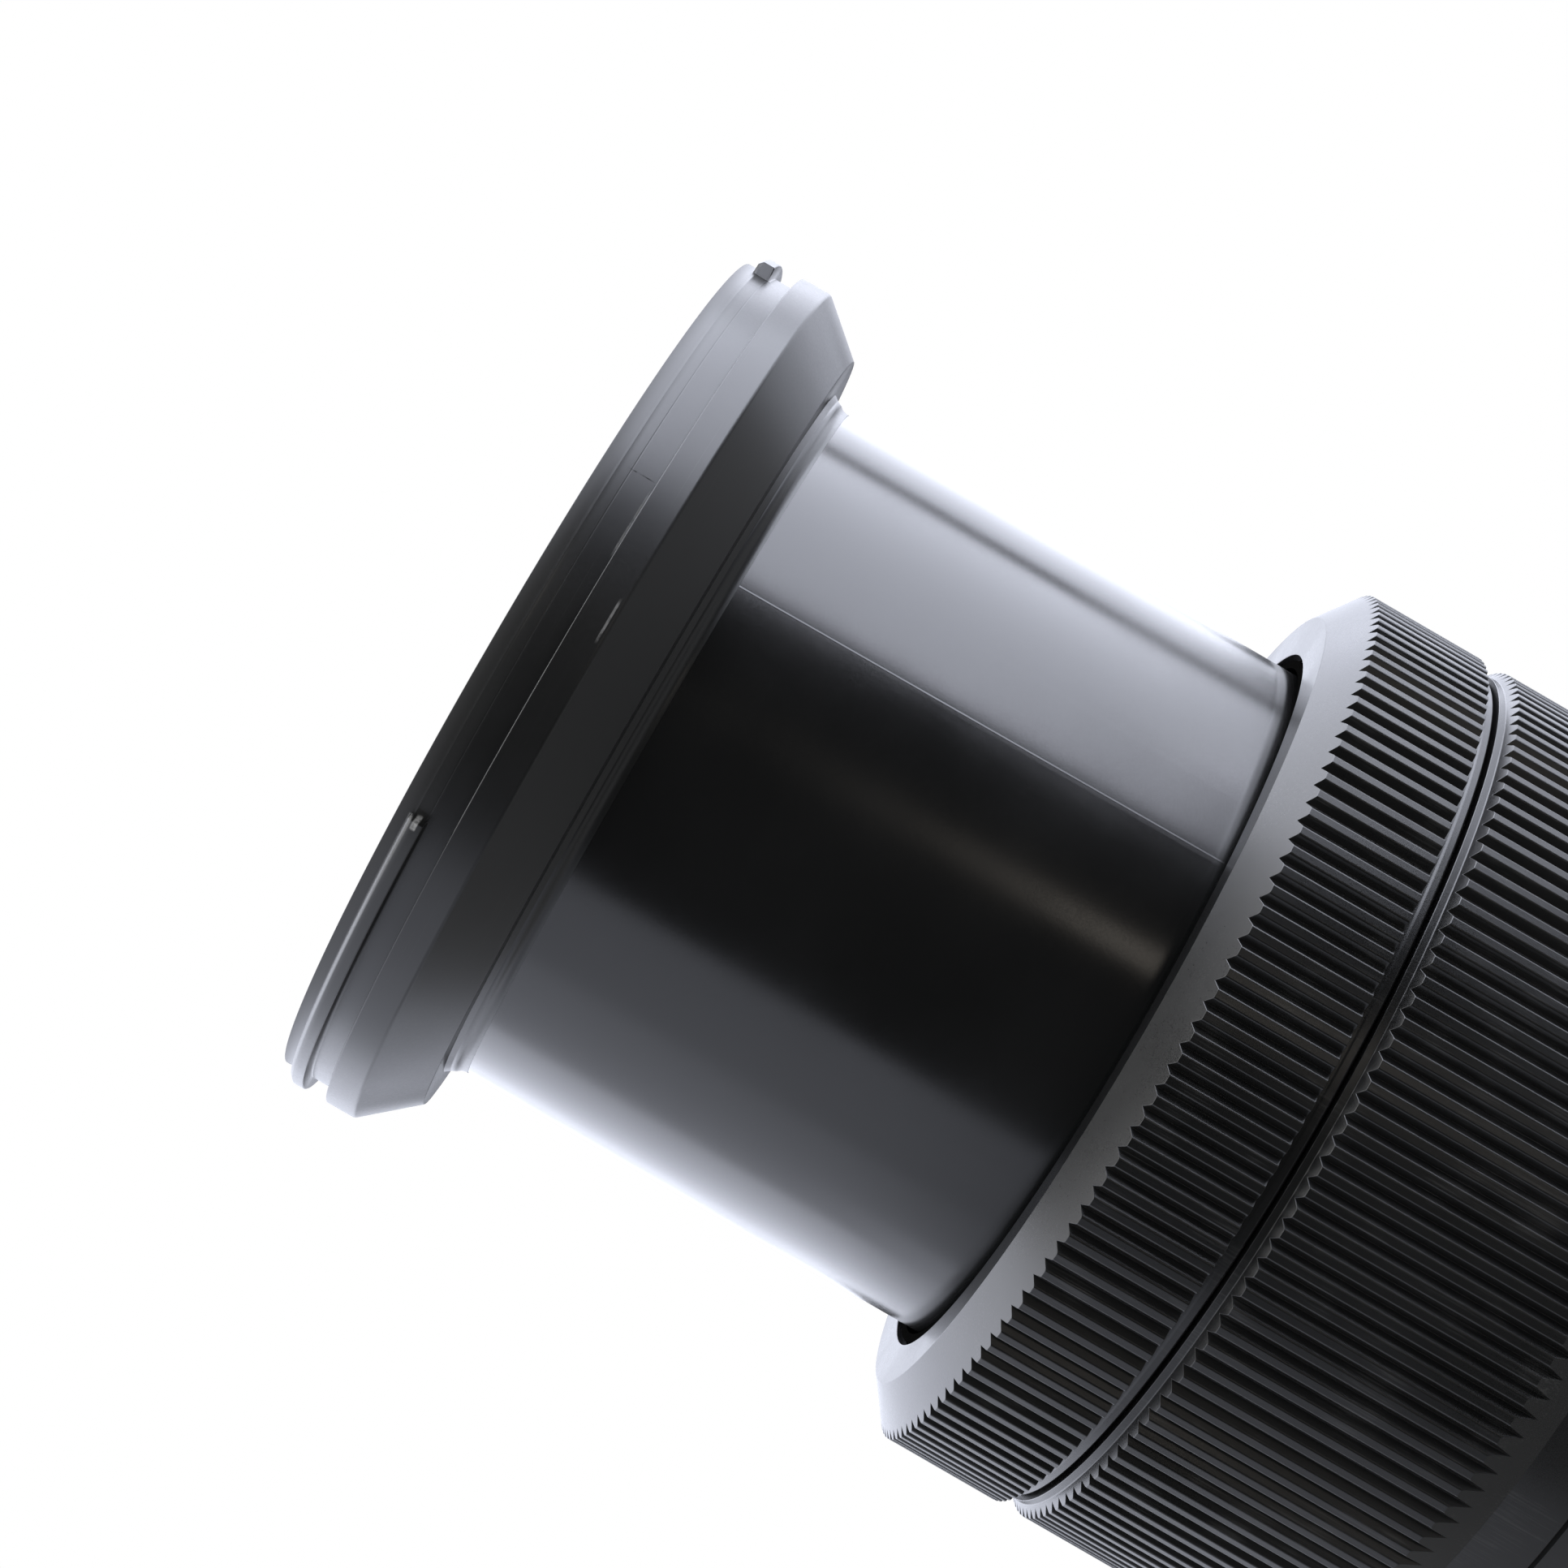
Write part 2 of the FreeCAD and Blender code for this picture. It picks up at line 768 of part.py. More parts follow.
def make_front_bezel():
    outline = [
        (cell_bore - 0.6, bezel_rear),
        (tube_radius + 0.1, bezel_rear),
        (tube_radius + 0.1, tube_top + 1.75),
        (tube_flange_radius, front_height - bezel_seat_depth + seat_gap),
        (bezel_seat_radius - 0.05, front_height - bezel_seat_depth + seat_gap),
        (bezel_seat_radius - 0.05, front_height - filter_depth - seat_gap),
        (bezel_seat_radius - 0.6, front_height - filter_depth - seat_gap),
        (cell_bore - 0.6, bezel_rear + 0.35),
    ]
    return revolved(outline)


# Middle group

middle_cell_front = carrier_front - 1.0
blade_rise = blade_slope * pivot_circle * (math.cos(math.radians(blade_span - blade_slope_angle))
                                           - math.cos(math.radians(blade_slope_angle)))
stack_height = pivot_lift + blade_rise + blade_slope * blade_end + blade_thickness + stack_gap
bulkhead_rear = iris_floor + stack_height + drive_ring_thickness + 0.1
shoulder_bore = carrier_bore - 1.6
plate_screw_circle = carrier_bore - 1.0


def make_group_carrier():
    bulkhead_front = bulkhead_rear + bulkhead_thickness
    cell_outer = middle_glass_radius + middle_cell_wall
    shoulder_rear = carrier_rear + rear_plate_thickness + 0.2
    outline = [
        (carrier_bore, carrier_rear),
        (carrier_radius, carrier_rear),
        (carrier_radius, carrier_front),
        (carrier_bore, carrier_front),
        (carrier_bore, bulkhead_front),
        (cell_outer, bulkhead_front),
        (cell_outer, middle_cell_front),
        (middle_glass_radius + seat_gap, middle_cell_front),
        (middle_glass_radius + seat_gap, bulkhead_front),
        (middle_glass_radius - 1.2, bulkhead_front),
        (middle_glass_radius - 1.2, bulkhead_rear),
        (carrier_bore, bulkhead_rear),
        (carrier_bore, shoulder_rear + 1.6),
        (shoulder_bore, shoulder_rear + 1.6),
        (shoulder_bore, shoulder_rear),
        (carrier_bore, shoulder_rear),
    ]
    shape = revolved(outline)
    hole = radial_pin(follower_shaft + screw_gap, carrier_bore - 1, carrier_radius + 1, group_follower_height)
    plate_hole = upright_pin(0.45 + screw_gap, plate_screw_circle, shoulder_rear - 1, shoulder_rear + 1.3)
    shape = shape.cut(group(around(hole, follower_count, group_follower_angle)))
    return shape.cut(group(around(plate_hole, plate_screw_count, plate_screw_angle)))


def make_carrier_plate():
    low = carrier_rear + 0.2
    high = low + rear_plate_thickness
    shape = ring(middle_glass_radius + 0.6, carrier_bore - 0.05, low, high)
    hole = upright_pin(0.45 + screw_gap, plate_screw_circle, low - 1, high + 1)
    seat = upright_pin(rod_radius + seat_gap, rod_circle, high - 0.8, high + 1)
    shape = shape.cut(group(around(hole, plate_screw_count, plate_screw_angle)))
    return shape.cut(group(around(seat, 2, 90.0)))


def make_plate_screws():
    low = carrier_rear + 0.2
    one = screw(plate_screw_circle, low, 0.8, 0.5, 0.45, rear_plate_thickness + 1.2, upward=False)
    return group(around(one, plate_screw_count, plate_screw_angle))


def make_group_rollers():
    inner = carrier_radius + roller_gap
    return group(around(roller(inner, group_follower_height), follower_count, group_follower_angle))


def make_group_roller_screws():
    inner = carrier_bore + 0.2
    return group(around(follower_screw(inner, group_follower_height), follower_count, group_follower_angle))


def make_middle_lens():
    low = bulkhead_rear + bulkhead_thickness
    return lens(middle_glass_radius, low, low + 1.9, -0.6, 1.0)


def make_middle_ring():
    return retaining_ring(middle_glass_radius, bulkhead_rear + bulkhead_thickness + 1.9, 1.0)


# Iris

drive_ring_low = iris_floor + stack_height
drive_ring_high = drive_ring_low + drive_ring_thickness


def far_pin(turn):
    """Where a blade's far pin stands when the blade has turned about its pivot."""
    pivot = point_on(pivot_circle, 0)
    arm = point_on(pivot_circle, blade_span) - pivot
    c = math.cos(math.radians(turn))
    s = math.sin(math.radians(turn))
    return pivot + vector(arm.x * c - arm.y * s, arm.x * s + arm.y * c, 0)


def angle_of(point):
    return math.degrees(math.atan2(point.y, point.x)) % 360


drive_turn = angle_of(far_pin(blade_turn)) - blade_span
pin_path = [far_pin(blade_turn * i / slot_steps) for i in range(slot_steps + 1)]
iris_opening = min(pin.Length for pin in pin_path) - pivot_radius - drive_pin_gap - drive_wall
blade_inner = iris_opening - 0.1


def make_blade():
    """The blade that pivots at +X: a thin crescent, tilted so that its neighbours lie above and below it."""
    low = disc(blade_outer, 0, blade_thickness).cut(disc(blade_inner, -1, 1))
    wedge = Part.makeCylinder(blade_outer + 1, 2, on_axis(-1), vector(0, 0, 1), blade_span)
    crescent = low.common(wedge)
    ends = []
    for angle in (0.0, blade_span):
        place = point_on(pivot_circle, angle)
        ends.append(Part.makeCylinder(blade_end, blade_thickness, place))
    crescent = crescent.fuse(ends).removeSplitter()
    tilt_axis = point_on(1, blade_slope_angle - 90)
    crescent.rotate(point_on(pivot_circle, 0), tilt_axis, math.degrees(math.atan(blade_slope)))
    pivot_height = iris_floor + pivot_lift
    crescent.translate(on_axis(pivot_height))
    pivot_low = iris_floor - iris_floor_thickness + 0.15
    pivot = upright_pin(pivot_radius, pivot_circle, pivot_low, pivot_height + blade_thickness)
    far_low = vector(0, 0, pivot_height + blade_rise) + point_on(pivot_circle, blade_span)
    far = Part.makeCylinder(pivot_radius, drive_ring_high - 0.1 - far_low.z, far_low)
    return crescent.fuse([pivot, far]).removeSplitter()


def make_iris_housing():
    floor_low = iris_floor - iris_floor_thickness
    outer = iris_cavity + iris_wall
    outline = [
        (iris_opening, floor_low),
        (outer, floor_low),
        (outer, bulkhead_rear),
        (drive_ring_radius + running_gap, bulkhead_rear),
        (drive_ring_radius + running_gap, drive_ring_low - 0.05),
        (iris_cavity, drive_ring_low - 0.05),
        (iris_cavity, iris_floor),
        (iris_opening, iris_floor),
    ]
    shape = revolved(outline)
    hole = upright_pin(pivot_radius + 0.05, pivot_circle, floor_low - 1, iris_floor + 1)
    rod_seat = upright_pin(rod_radius + seat_gap, rod_circle, floor_low - 1, floor_low + 1.0)
    ear = upright_pin(rod_radius + 1.0, rod_circle, floor_low, floor_low + 1.6)
    shape = shape.fuse(around(ear, 2, 90.0)).removeSplitter()
    shape = shape.cut(group(around(rod_seat, 2, 90.0)))
    return shape.cut(group(around(hole, blade_count)))


def straight_bar(first, last, half, low, high):
    """A flat bar from one point to another, as wide as twice half."""
    along = last - first
    bar = box(0, along.Length, -half, half, low, high)
    bar.rotate(on_axis(0), vector(0, 0, 1), angle_of(along))
    bar.translate(first)
    return bar


def make_drive_ring():
    """The ring that turns all the blades: each far pin runs in a slot that follows its path."""
    places = []
    for i, pin in enumerate(pin_path):
        places.append(point_on(pin.Length, angle_of(pin) - drive_turn * i / slot_steps))
    half = pivot_radius + drive_pin_gap
    low = drive_ring_low - 1
    high = drive_ring_high + 1
    bars = [straight_bar(p, q, half, low, high) for p, q in zip(places, places[1:])]
    rounds = [Part.makeCylinder(half, high - low, p + on_axis(low)) for p in places]
    slot = rounds[0].fuse(rounds[1:] + bars).removeSplitter()
    shape = ring(iris_opening, drive_ring_radius, drive_ring_low, drive_ring_high)
    return shape.cut(group(around(slot, blade_count)))


# Focus group

plate_top = carrier_rear + 0.2 + rear_plate_thickness
focus_holder_rear = plate_top + 0.1
focus_holder_front = focus_holder_rear + focus_holder_length
floor_low = iris_floor - iris_floor_thickness


def make_focus_holder():
    outer = focus_glass_radius + focus_holder_wall
    shape = ring(focus_glass_radius + seat_gap, outer, focus_holder_rear, focus_holder_front)
    shelf = ring(focus_glass_radius - 0.9, focus_glass_radius + 0.5, focus_holder_rear, focus_holder_rear + 0.8)
    arm = box(0, rod_circle, -1.1, 1.1, focus_holder_rear, focus_holder_rear + 2.0)
    arm = arm.cut(disc(outer - 0.3, focus_holder_rear - 1, focus_holder_front + 1))
    sleeve = upright_pin(rod_radius + 0.9, rod_circle, focus_holder_rear, focus_holder_front)
    shape = shape.fuse([shelf] + around(arm, 2, 90.0) + [turned(sleeve, 90.0)])
    fork = upright_pin(rod_radius + 0.9, rod_circle, focus_holder_rear, focus_holder_rear + 2.0)
    shape = shape.fuse(turned(fork, 270.0)).removeSplitter()
    bore = upright_pin(rod_radius + running_gap / 2, rod_circle, focus_holder_rear - 1, focus_holder_front + 1)
    open_side = box(rod_circle, rod_circle + 3, -rod_radius - 0.05, rod_radius + 0.05,
                    focus_holder_rear - 1, focus_holder_front + 1)
    return shape.cut(group(around(bore, 2, 90.0))).cut(turned(open_side, 270.0))


def make_focus_lens():
    low = focus_holder_rear + 0.8
    return lens(focus_glass_radius, low, low + 2.2, -0.9, 1.1)


def make_focus_rods():
    rod = upright_pin(rod_radius, rod_circle, plate_top - 0.8, floor_low + 1.0)
    return group(around(rod, 2, 90.0))


coil_inner = focus_glass_radius + focus_holder_wall
coil_depth = 4.4
coil_width = 8.6
coil_band = 1.1
coil_height = 3.6
yoke_plate = 0.8
yoke_width = 5.4
yoke_rear = plate_top + 0.2


def make_focus_coil():
    low = focus_holder_rear + 0.2
    high = low + coil_height
    half = coil_width / 2
    outer = box(coil_inner - 0.9, coil_inner + coil_depth, -half, half, low, high)
    outer = outer.cut(disc(coil_inner, low - 1, high + 1))
    window = box(coil_inner + coil_band, coil_inner + coil_depth - coil_band, -half + coil_band,
                 half - coil_band, low - 1, high + 1)
    return outer.cut(window)


def make_focus_yoke():
    half = yoke_width / 2
    inner_plate = coil_inner + coil_depth / 2 - yoke_plate / 2
    outer_plate = coil_inner + coil_depth + 1.1
    plates = [box(x, x + yoke_plate, -half, half, yoke_rear, floor_low) for x in (inner_plate, outer_plate)]
    bridge = box(inner_plate, outer_plate + yoke_plate, -half, half, floor_low - 1.0, floor_low)
    return plates[0].fuse([plates[1], bridge]).removeSplitter()


def make_focus_magnet():
    half = yoke_width / 2
    outer_plate = coil_inner + coil_depth + 1.1
    return box(outer_plate - 0.8, outer_plate, -half, half, yoke_rear, floor_low - 2.0)


# Rear group, boards and contacts

board_low = flange_top + 2.4
board_thickness = 0.8
rear_cell_radius = board_outer - rear_cell_inset
board_inner = rear_cell_radius + 0.8
post_circle = board_outer - 2.9
rear_glass_radius = rear_cell_radius - rear_cell_wall
rear_web_rear = rear_cell_rear + 3.6
rear_web_front = rear_web_rear + 3.2


def make_rear_lens_cell():
    shape = revolved([
        (rear_glass_radius + seat_gap, rear_cell_rear),
        (rear_cell_radius, rear_cell_rear),
        (rear_cell_radius, flange_top),
        (board_outer, flange_top),
        (board_outer, flange_top + rear_flange_thickness),
        (rear_cell_radius, flange_top + rear_flange_thickness),
        (rear_cell_radius, rear_cell_front),
        (rear_glass_radius + seat_gap, rear_cell_front),
        (rear_glass_radius + seat_gap, rear_web_front),
        (rear_glass_radius - 1.3, rear_web_front),
        (rear_glass_radius - 1.3, rear_web_rear),
        (rear_glass_radius + seat_gap, rear_web_rear),
    ])
    post = upright_pin(1.0, post_circle, flange_top, board_low)
    shape = shape.fuse(around(post, 3)).removeSplitter()
    hole = upright_pin(0.6 + screw_gap, rear_screw_circle, flange_top - 1, flange_top + 3)
    return shape.cut(group(around(hole, 3, 60.0)))


def make_rear_lens():
    return lens(rear_glass_radius, rear_web_rear - 3.0, rear_web_rear, 0.5, -1.6)


def make_rear_inner_lens():
    return lens(rear_glass_radius, rear_web_front, rear_web_front + 2.4, -1.0, 1.9)


def make_rear_lens_ring():
    return retaining_ring(rear_glass_radius, rear_web_front + 2.4, 1.9)


def make_main_board():
    shape = ring(board_inner, board_outer, board_low, board_low + board_thickness)
    gap = box(0, board_outer + 1, -2.0, 2.0, board_low - 1, board_low + 2)
    return shape.cut(turned(gap, 180.0))


baffle_rear = -3.9
baffle_thickness = 0.6
baffle_window_long = 23.0
baffle_window_short = 15.5
contact_count = 10
contact_circle = bayonet_bore - 1.1
contact_arc = 62.0
contact_middle = 270.0


def make_rear_baffle():
    outer = bayonet_bore - 0.05
    plate = disc(outer, baffle_rear, baffle_rear + baffle_thickness)
    skirt = ring(outer - 0.7, outer, baffle_rear, flange_thickness - 0.1)
    a = baffle_window_long / 2
    b = baffle_window_short / 2
    window = box(-a, a, -b, b, baffle_rear - 1, baffle_rear + 2)
    upright = [e for e in window.Edges if abs(e.tangentAt(e.FirstParameter).z) > 0.9]
    window = window.makeFillet(1.5, upright)
    return plate.fuse(skirt).cut(window).removeSplitter()


def make_contact_block():
    start = contact_middle - contact_arc / 2
    return ring_sector(contact_circle - 1.1, bayonet_bore - 0.1, baffle_rear - 0.55, baffle_rear, start, contact_arc)


def make_contact_pins():
    step = (contact_arc - 8.0) / (contact_count - 1)
    pin = upright_pin(0.6, contact_circle, baffle_rear - 0.65, baffle_rear - 0.55)
    first = contact_middle - (contact_arc - 8.0) / 2
    return group([turned(pin, first + i * step) for i in range(contact_count)])


def make_mount_ring():
    plate = ring(bayonet_bore, flange_radius, 0, flange_thickness)
    tube = ring(bayonet_bore, bayonet_radius, -bayonet_depth, 0)
    lug = ring_sector(bayonet_radius - 0.3, bayonet_lug_radius, -bayonet_depth,
                      -bayonet_depth + bayonet_lug_thickness, -bayonet_lug_angle / 2, bayonet_lug_angle)
    shape = plate.fuse([tube] + around(lug, bayonet_lug_count, 30.0)).removeSplitter()
    hole = upright_pin(0.85, mount_screw_circle, -1, flange_thickness + 1)
    recess = upright_pin(1.55, mount_screw_circle, -1, 0.9)
    shape = shape.cut(group(around(hole.fuse(recess), mount_screw_count, 45.0)))
    lock = upright_pin(lock_hole_radius, mount_screw_circle, -1, lock_hole_depth)
    return shape.cut(turned(lock, 0.0))


def make_mount_screws():
    one = screw(mount_screw_circle, 0.9, 1.5, 0.8, 0.8, 3.1, upward=False)
    return group(around(one, mount_screw_count, 45.0))


barrel_rear = 0.9


def make_mount_gasket():
    inner = flange_radius + seat_gap
    outer = flange_radius + gasket_width
    return revolved([
        (inner, flange_thickness),
        (outer, flange_thickness),
        (outer, barrel_rear - 0.05),
        (outer + gasket_lip, barrel_rear - 0.2),
        (outer + gasket_lip - 0.1, 0.1),
        (outer + gasket_lip / 2, 0.0),
        (inner, 0.5),
    ])


def make_rear_barrel():
    skirt = flange_radius + gasket_width + 0.05
    outline = [
        (skirt, barrel_rear),
        (barrel_collar_radius - 0.2, barrel_rear),
        (barrel_collar_radius, barrel_rear + 0.3),
        (barrel_collar_radius, barrel_rear + barrel_collar_length),
        (barrel_front_radius, barrel_rear + barrel_collar_length + barrel_taper_length),
        (barrel_front_radius, rear_barrel_length - 0.2),
        (barrel_front_radius - 0.2, rear_barrel_length),
        (barrel_bore, rear_barrel_length),
        (barrel_bore, flange_top),
        (barrel_flange_bore, flange_top),
        (barrel_flange_bore, flange_thickness),
        (skirt, flange_thickness),
    ]
    shape = revolved(outline)
    mount_hole = upright_pin(0.8 + screw_gap, mount_screw_circle, flange_thickness - 1, flange_top + 1)
    guide_hole = upright_pin(0.6 + screw_gap, guide_screw_circle, flange_thickness - 1, flange_top + 1)
    rear_hole = upright_pin(0.6 + screw_gap, rear_screw_circle, flange_thickness - 1, flange_top + 1)
    tools = around(mount_hole, mount_screw_count, 45.0) + around(guide_hole, 3, 90.0) + around(rear_hole, 3, 60.0)
    shape = shape.cut(group(tools))
    pocket = radial_pin(index_radius + screw_gap, barrel_collar_radius - 0.7, barrel_collar_radius + 1, index_height)
    return shape.cut(turned(pocket, index_angle))


def make_index_dot():
    bead = radial_pin(index_radius, barrel_collar_radius - 0.7, barrel_collar_radius + 0.05, index_height)
    return turned(bead, index_angle)


nodes = {
    "mount_ring": make_mount_ring,
    "mount_screws": make_mount_screws,
    "mount_gasket": make_mount_gasket,
    "contact_block": make_contact_block,
    "contact_pins": make_contact_pins,
    "rear_baffle": make_rear_baffle,
    "rear_barrel": make_rear_barrel,
    "index_dot": make_index_dot,
    "rear_lens_cell": make_rear_lens_cell,
    "barrel_screws": make_barrel_screws,
    "rear_lens": make_rear_lens,
    "rear_inner_lens": make_rear_inner_lens,
    "rear_lens_ring": make_rear_lens_ring,
    "main_board": make_main_board,
    "guide_tube": make_guide_tube,
    "felt_ring": make_felt_ring,
    "front_collar": make_front_collar,
    "focus_sleeve": make_focus_sleeve,
    "snap_ring": make_snap_ring,
    "focus_sensor": make_focus_sensor,
    "zoom_strip": make_zoom_strip,
    "zoom_ring": make_zoom_ring,
    "zoom_keys": make_zoom_keys,
    "cam_barrel": make_cam_barrel,
    "zoom_brush": make_zoom_brush,
    "focus_ring": make_focus_ring,
    "focus_comb": make_focus_comb,
    "sliding_tube": make_sliding_tube,
    "barrel_rollers": make_barrel_rollers,
    "barrel_roller_screws": make_barrel_roller_screws,
    "front_ring": make_front_ring,
    "front_ring_screws": make_front_ring_screws,
    "front_lens_cell": make_front_lens_cell,
    "front_lens": make_front_lens,
    "front_lens_ring": make_front_lens_ring,
    "front_inner_lens": make_front_inner_lens,
    "front_inner_ring": make_front_inner_ring,
    "front_bezel": make_front_bezel,
    "group_carrier": make_group_carrier,
    "carrier_plate": make_carrier_plate,
    "plate_screws": make_plate_screws,
    "group_rollers": make_group_rollers,
    "group_roller_screws": make_group_roller_screws,
    "middle_lens": make_middle_lens,
    "middle_ring": make_middle_ring,
    "iris_housing": make_iris_housing,
    "drive_ring": make_drive_ring,
    "focus_holder": make_focus_holder,
    "focus_lens": make_focus_lens,
    "focus_rods": make_focus_rods,
    "focus_coil": make_focus_coil,
    "focus_yoke": make_focus_yoke,
    "focus_magnet": make_focus_magnet,
}

for name, make in nodes.items():
    make().exportStep("parts/" + name + ".step")

for i, blade in enumerate(around(make_blade(), blade_count)):
    blade.exportStep("parts/iris_blade_" + str(i + 1) + ".step")

print("drive ring turns by", round(drive_turn, 3), "degrees")
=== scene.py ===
"""A standard zoom lens in satin black plastic, standing on its mount with the barrel drawn out."""

import bpy
import bmesh
import math
from mathutils import Matrix, Vector


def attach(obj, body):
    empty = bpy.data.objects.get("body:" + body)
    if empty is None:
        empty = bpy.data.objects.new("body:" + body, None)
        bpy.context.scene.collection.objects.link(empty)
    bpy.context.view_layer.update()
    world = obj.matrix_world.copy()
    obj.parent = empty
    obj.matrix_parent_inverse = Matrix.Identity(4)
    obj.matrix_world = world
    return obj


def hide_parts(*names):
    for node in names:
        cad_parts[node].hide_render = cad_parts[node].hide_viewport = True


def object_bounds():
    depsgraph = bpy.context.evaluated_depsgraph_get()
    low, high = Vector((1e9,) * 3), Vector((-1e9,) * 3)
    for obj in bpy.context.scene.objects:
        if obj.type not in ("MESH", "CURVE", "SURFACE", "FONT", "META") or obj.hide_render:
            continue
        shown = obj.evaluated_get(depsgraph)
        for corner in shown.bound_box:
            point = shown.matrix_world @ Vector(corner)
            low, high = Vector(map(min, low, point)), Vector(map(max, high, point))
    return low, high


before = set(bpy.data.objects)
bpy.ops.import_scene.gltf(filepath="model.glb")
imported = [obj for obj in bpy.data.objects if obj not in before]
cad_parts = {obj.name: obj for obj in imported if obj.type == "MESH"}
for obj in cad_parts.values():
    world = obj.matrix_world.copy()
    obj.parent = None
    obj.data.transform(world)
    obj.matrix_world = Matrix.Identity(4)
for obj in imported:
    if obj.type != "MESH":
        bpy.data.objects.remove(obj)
cad_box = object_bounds()

scene = bpy.context.scene
scene.view_settings.view_transform = "Standard"

# Camera. It looks straight at the drawn-out barrel from 22 cm away and is rolled by sixty degrees, so
# the lens leans across the frame and its rear end runs out of the picture.
camera_data = bpy.data.cameras.new("camera")
camera_data.sensor_width = 36.0
camera_data.lens = 78.58
camera_data.clip_start = 0.01
camera = bpy.data.objects.new("camera", camera_data)
scene.collection.objects.link(camera)
camera_right = Vector((0.50075193, -0.01253702, -0.86550005))
camera_up = Vector((0.86555179, -0.00224581, 0.50081439))
camera_axes = Matrix((camera_right, camera_up, camera_right.cross(camera_up))).transposed()
camera.matrix_world = Matrix.Translation((0.0, -0.218856, 0.089478)) @ camera_axes.to_4x4()
scene.camera = camera


# Rear barrel. A moulded housing of fine satin black plastic that carries the mount; its wide collar
# steps down to the zoom ring. The solid stays as the frame has it and takes the plastic made here.
def put(tree, kind, inputs=(), **settings):
    """Adds one shader node, with its inputs set or linked."""
    made = tree.nodes.new("ShaderNode" + kind)
    for key, value in settings.items():
        setattr(made, key, value)
    for key, value in dict(inputs).items():
        if isinstance(value, bpy.types.NodeSocket):
            tree.links.new(value, made.inputs[key])
        else:
            made.inputs[key].default_value = value
    return made


def start_material(name):
    """A new material with its tree, its main shader and the piece's own coordinates."""
    material = bpy.data.materials.new(name)
    material.use_nodes = True
    tree = material.node_tree
    return material, tree, tree.nodes["Principled BSDF"], put(tree, "TexCoord").outputs["Object"]


def spread(tree, value, low, high, to_low, to_high):
    """Maps a value from one span to another."""
    inputs = {"Value": value, "From Min": low, "From Max": high, "To Min": to_low, "To Max": to_high}
    return put(tree, "MapRange", inputs).outputs["Result"]


def mixed(tree, share, first, second):
    """Mixes two colours by a share."""
    node = put(tree, "Mix", data_type="RGBA")
    for socket, value in ((node.inputs[0], share), (node.inputs[6], first), (node.inputs[7], second)):
        if isinstance(value, bpy.types.NodeSocket):
            tree.links.new(value, socket)
        else:
            socket.default_value = value
    return node.outputs[2]


def grey(level, warmth=0.0):
    """A grey colour, a little warmer or, below zero, a little cooler."""
    return (level * (1 + warmth), level, level * (1 - warmth), 1.0)


def dust_share(tree, place, per_metre, size, clean):
    """Small round specks up to a size in metres, in all the cells of a pattern but the clean share."""
    cells = put(tree, "TexVoronoi", {"Vector": place, "Scale": per_metre})
    chance = put(tree, "SeparateColor", {"Color": cells.outputs["Color"]})
    radius = spread(tree, chance.outputs["Red"], clean, 1.0, 0.0, size * per_metre)
    inside = put(tree, "Math", {0: cells.outputs["Distance"], 1: radius}, operation="LESS_THAN")
    return inside.outputs[0]


def moulded_black(name, level, roughness, grain, relief, clean=0.97, wear=None):
    """Black plastic: fine moulded grain, uneven sheen, and a little dust. Wear adds marks of its own.

    Level is the grey of the plastic, grain and relief are the width and depth of its texture in metres,
    and clean is the share of it that stays free of dust.
    """
    material, tree, surface, place = start_material(name)
    grit = {"Vector": place, "Scale": 1 / grain, "Detail": 4.0, "Roughness": 0.6}
    fine = put(tree, "TexNoise", grit)
    cloud = put(tree, "TexNoise", {"Vector": place, "Scale": 90.0, "Detail": 4.0})
    base = mixed(tree, cloud.outputs["Fac"], grey(level * 0.7, -0.04), grey(level * 1.4, -0.04))
    dust = dust_share(tree, place, 420.0, 0.00007, clean)
    dull = dust
    for share, shade in wear(tree, place) if wear else ():
        base = mixed(tree, share, base, grey(shade))
        dull = put(tree, "Math", {0: dull, 1: share}, operation="MAXIMUM").outputs[0]
    tree.links.new(mixed(tree, dust, base, grey(0.6, 0.02)), surface.inputs["Base Color"])
    sheen = spread(tree, cloud.outputs["Fac"], 0.3, 0.7, roughness - 0.03, roughness + 0.04)
    rough = put(tree, "Math", {0: sheen, 1: spread(tree, fine.outputs["Fac"], 0.3, 0.7, -0.03, 0.03)})
    rough = put(tree, "Math", {0: rough.outputs[0], 1: dull}, operation="MAXIMUM")
    tree.links.new(rough.outputs[0], surface.inputs["Roughness"])
    bump = put(tree, "Bump", {"Height": fine.outputs["Fac"], "Strength": 1.0, "Distance": relief})
    tree.links.new(bump.outputs["Normal"], surface.inputs["Normal"])
    surface.inputs["IOR"].default_value = 1.55
    return material


sharp_angle = math.radians(24)


def dress(material, *names):
    """Puts a material on pieces that stay as the frame has them, and smooths them round curves."""
    for name in names:
        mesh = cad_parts[name].data
        mesh.materials.clear()
        mesh.materials.append(material)
        mesh.shade_smooth()
        mesh.set_sharp_from_angle(angle=sharp_angle)


barrel_plastic = moulded_black(
    "barrel_plastic", level=0.011, roughness=0.4, grain=0.00016, relief=0.000004
)
dress(barrel_plastic, "rear_barrel")


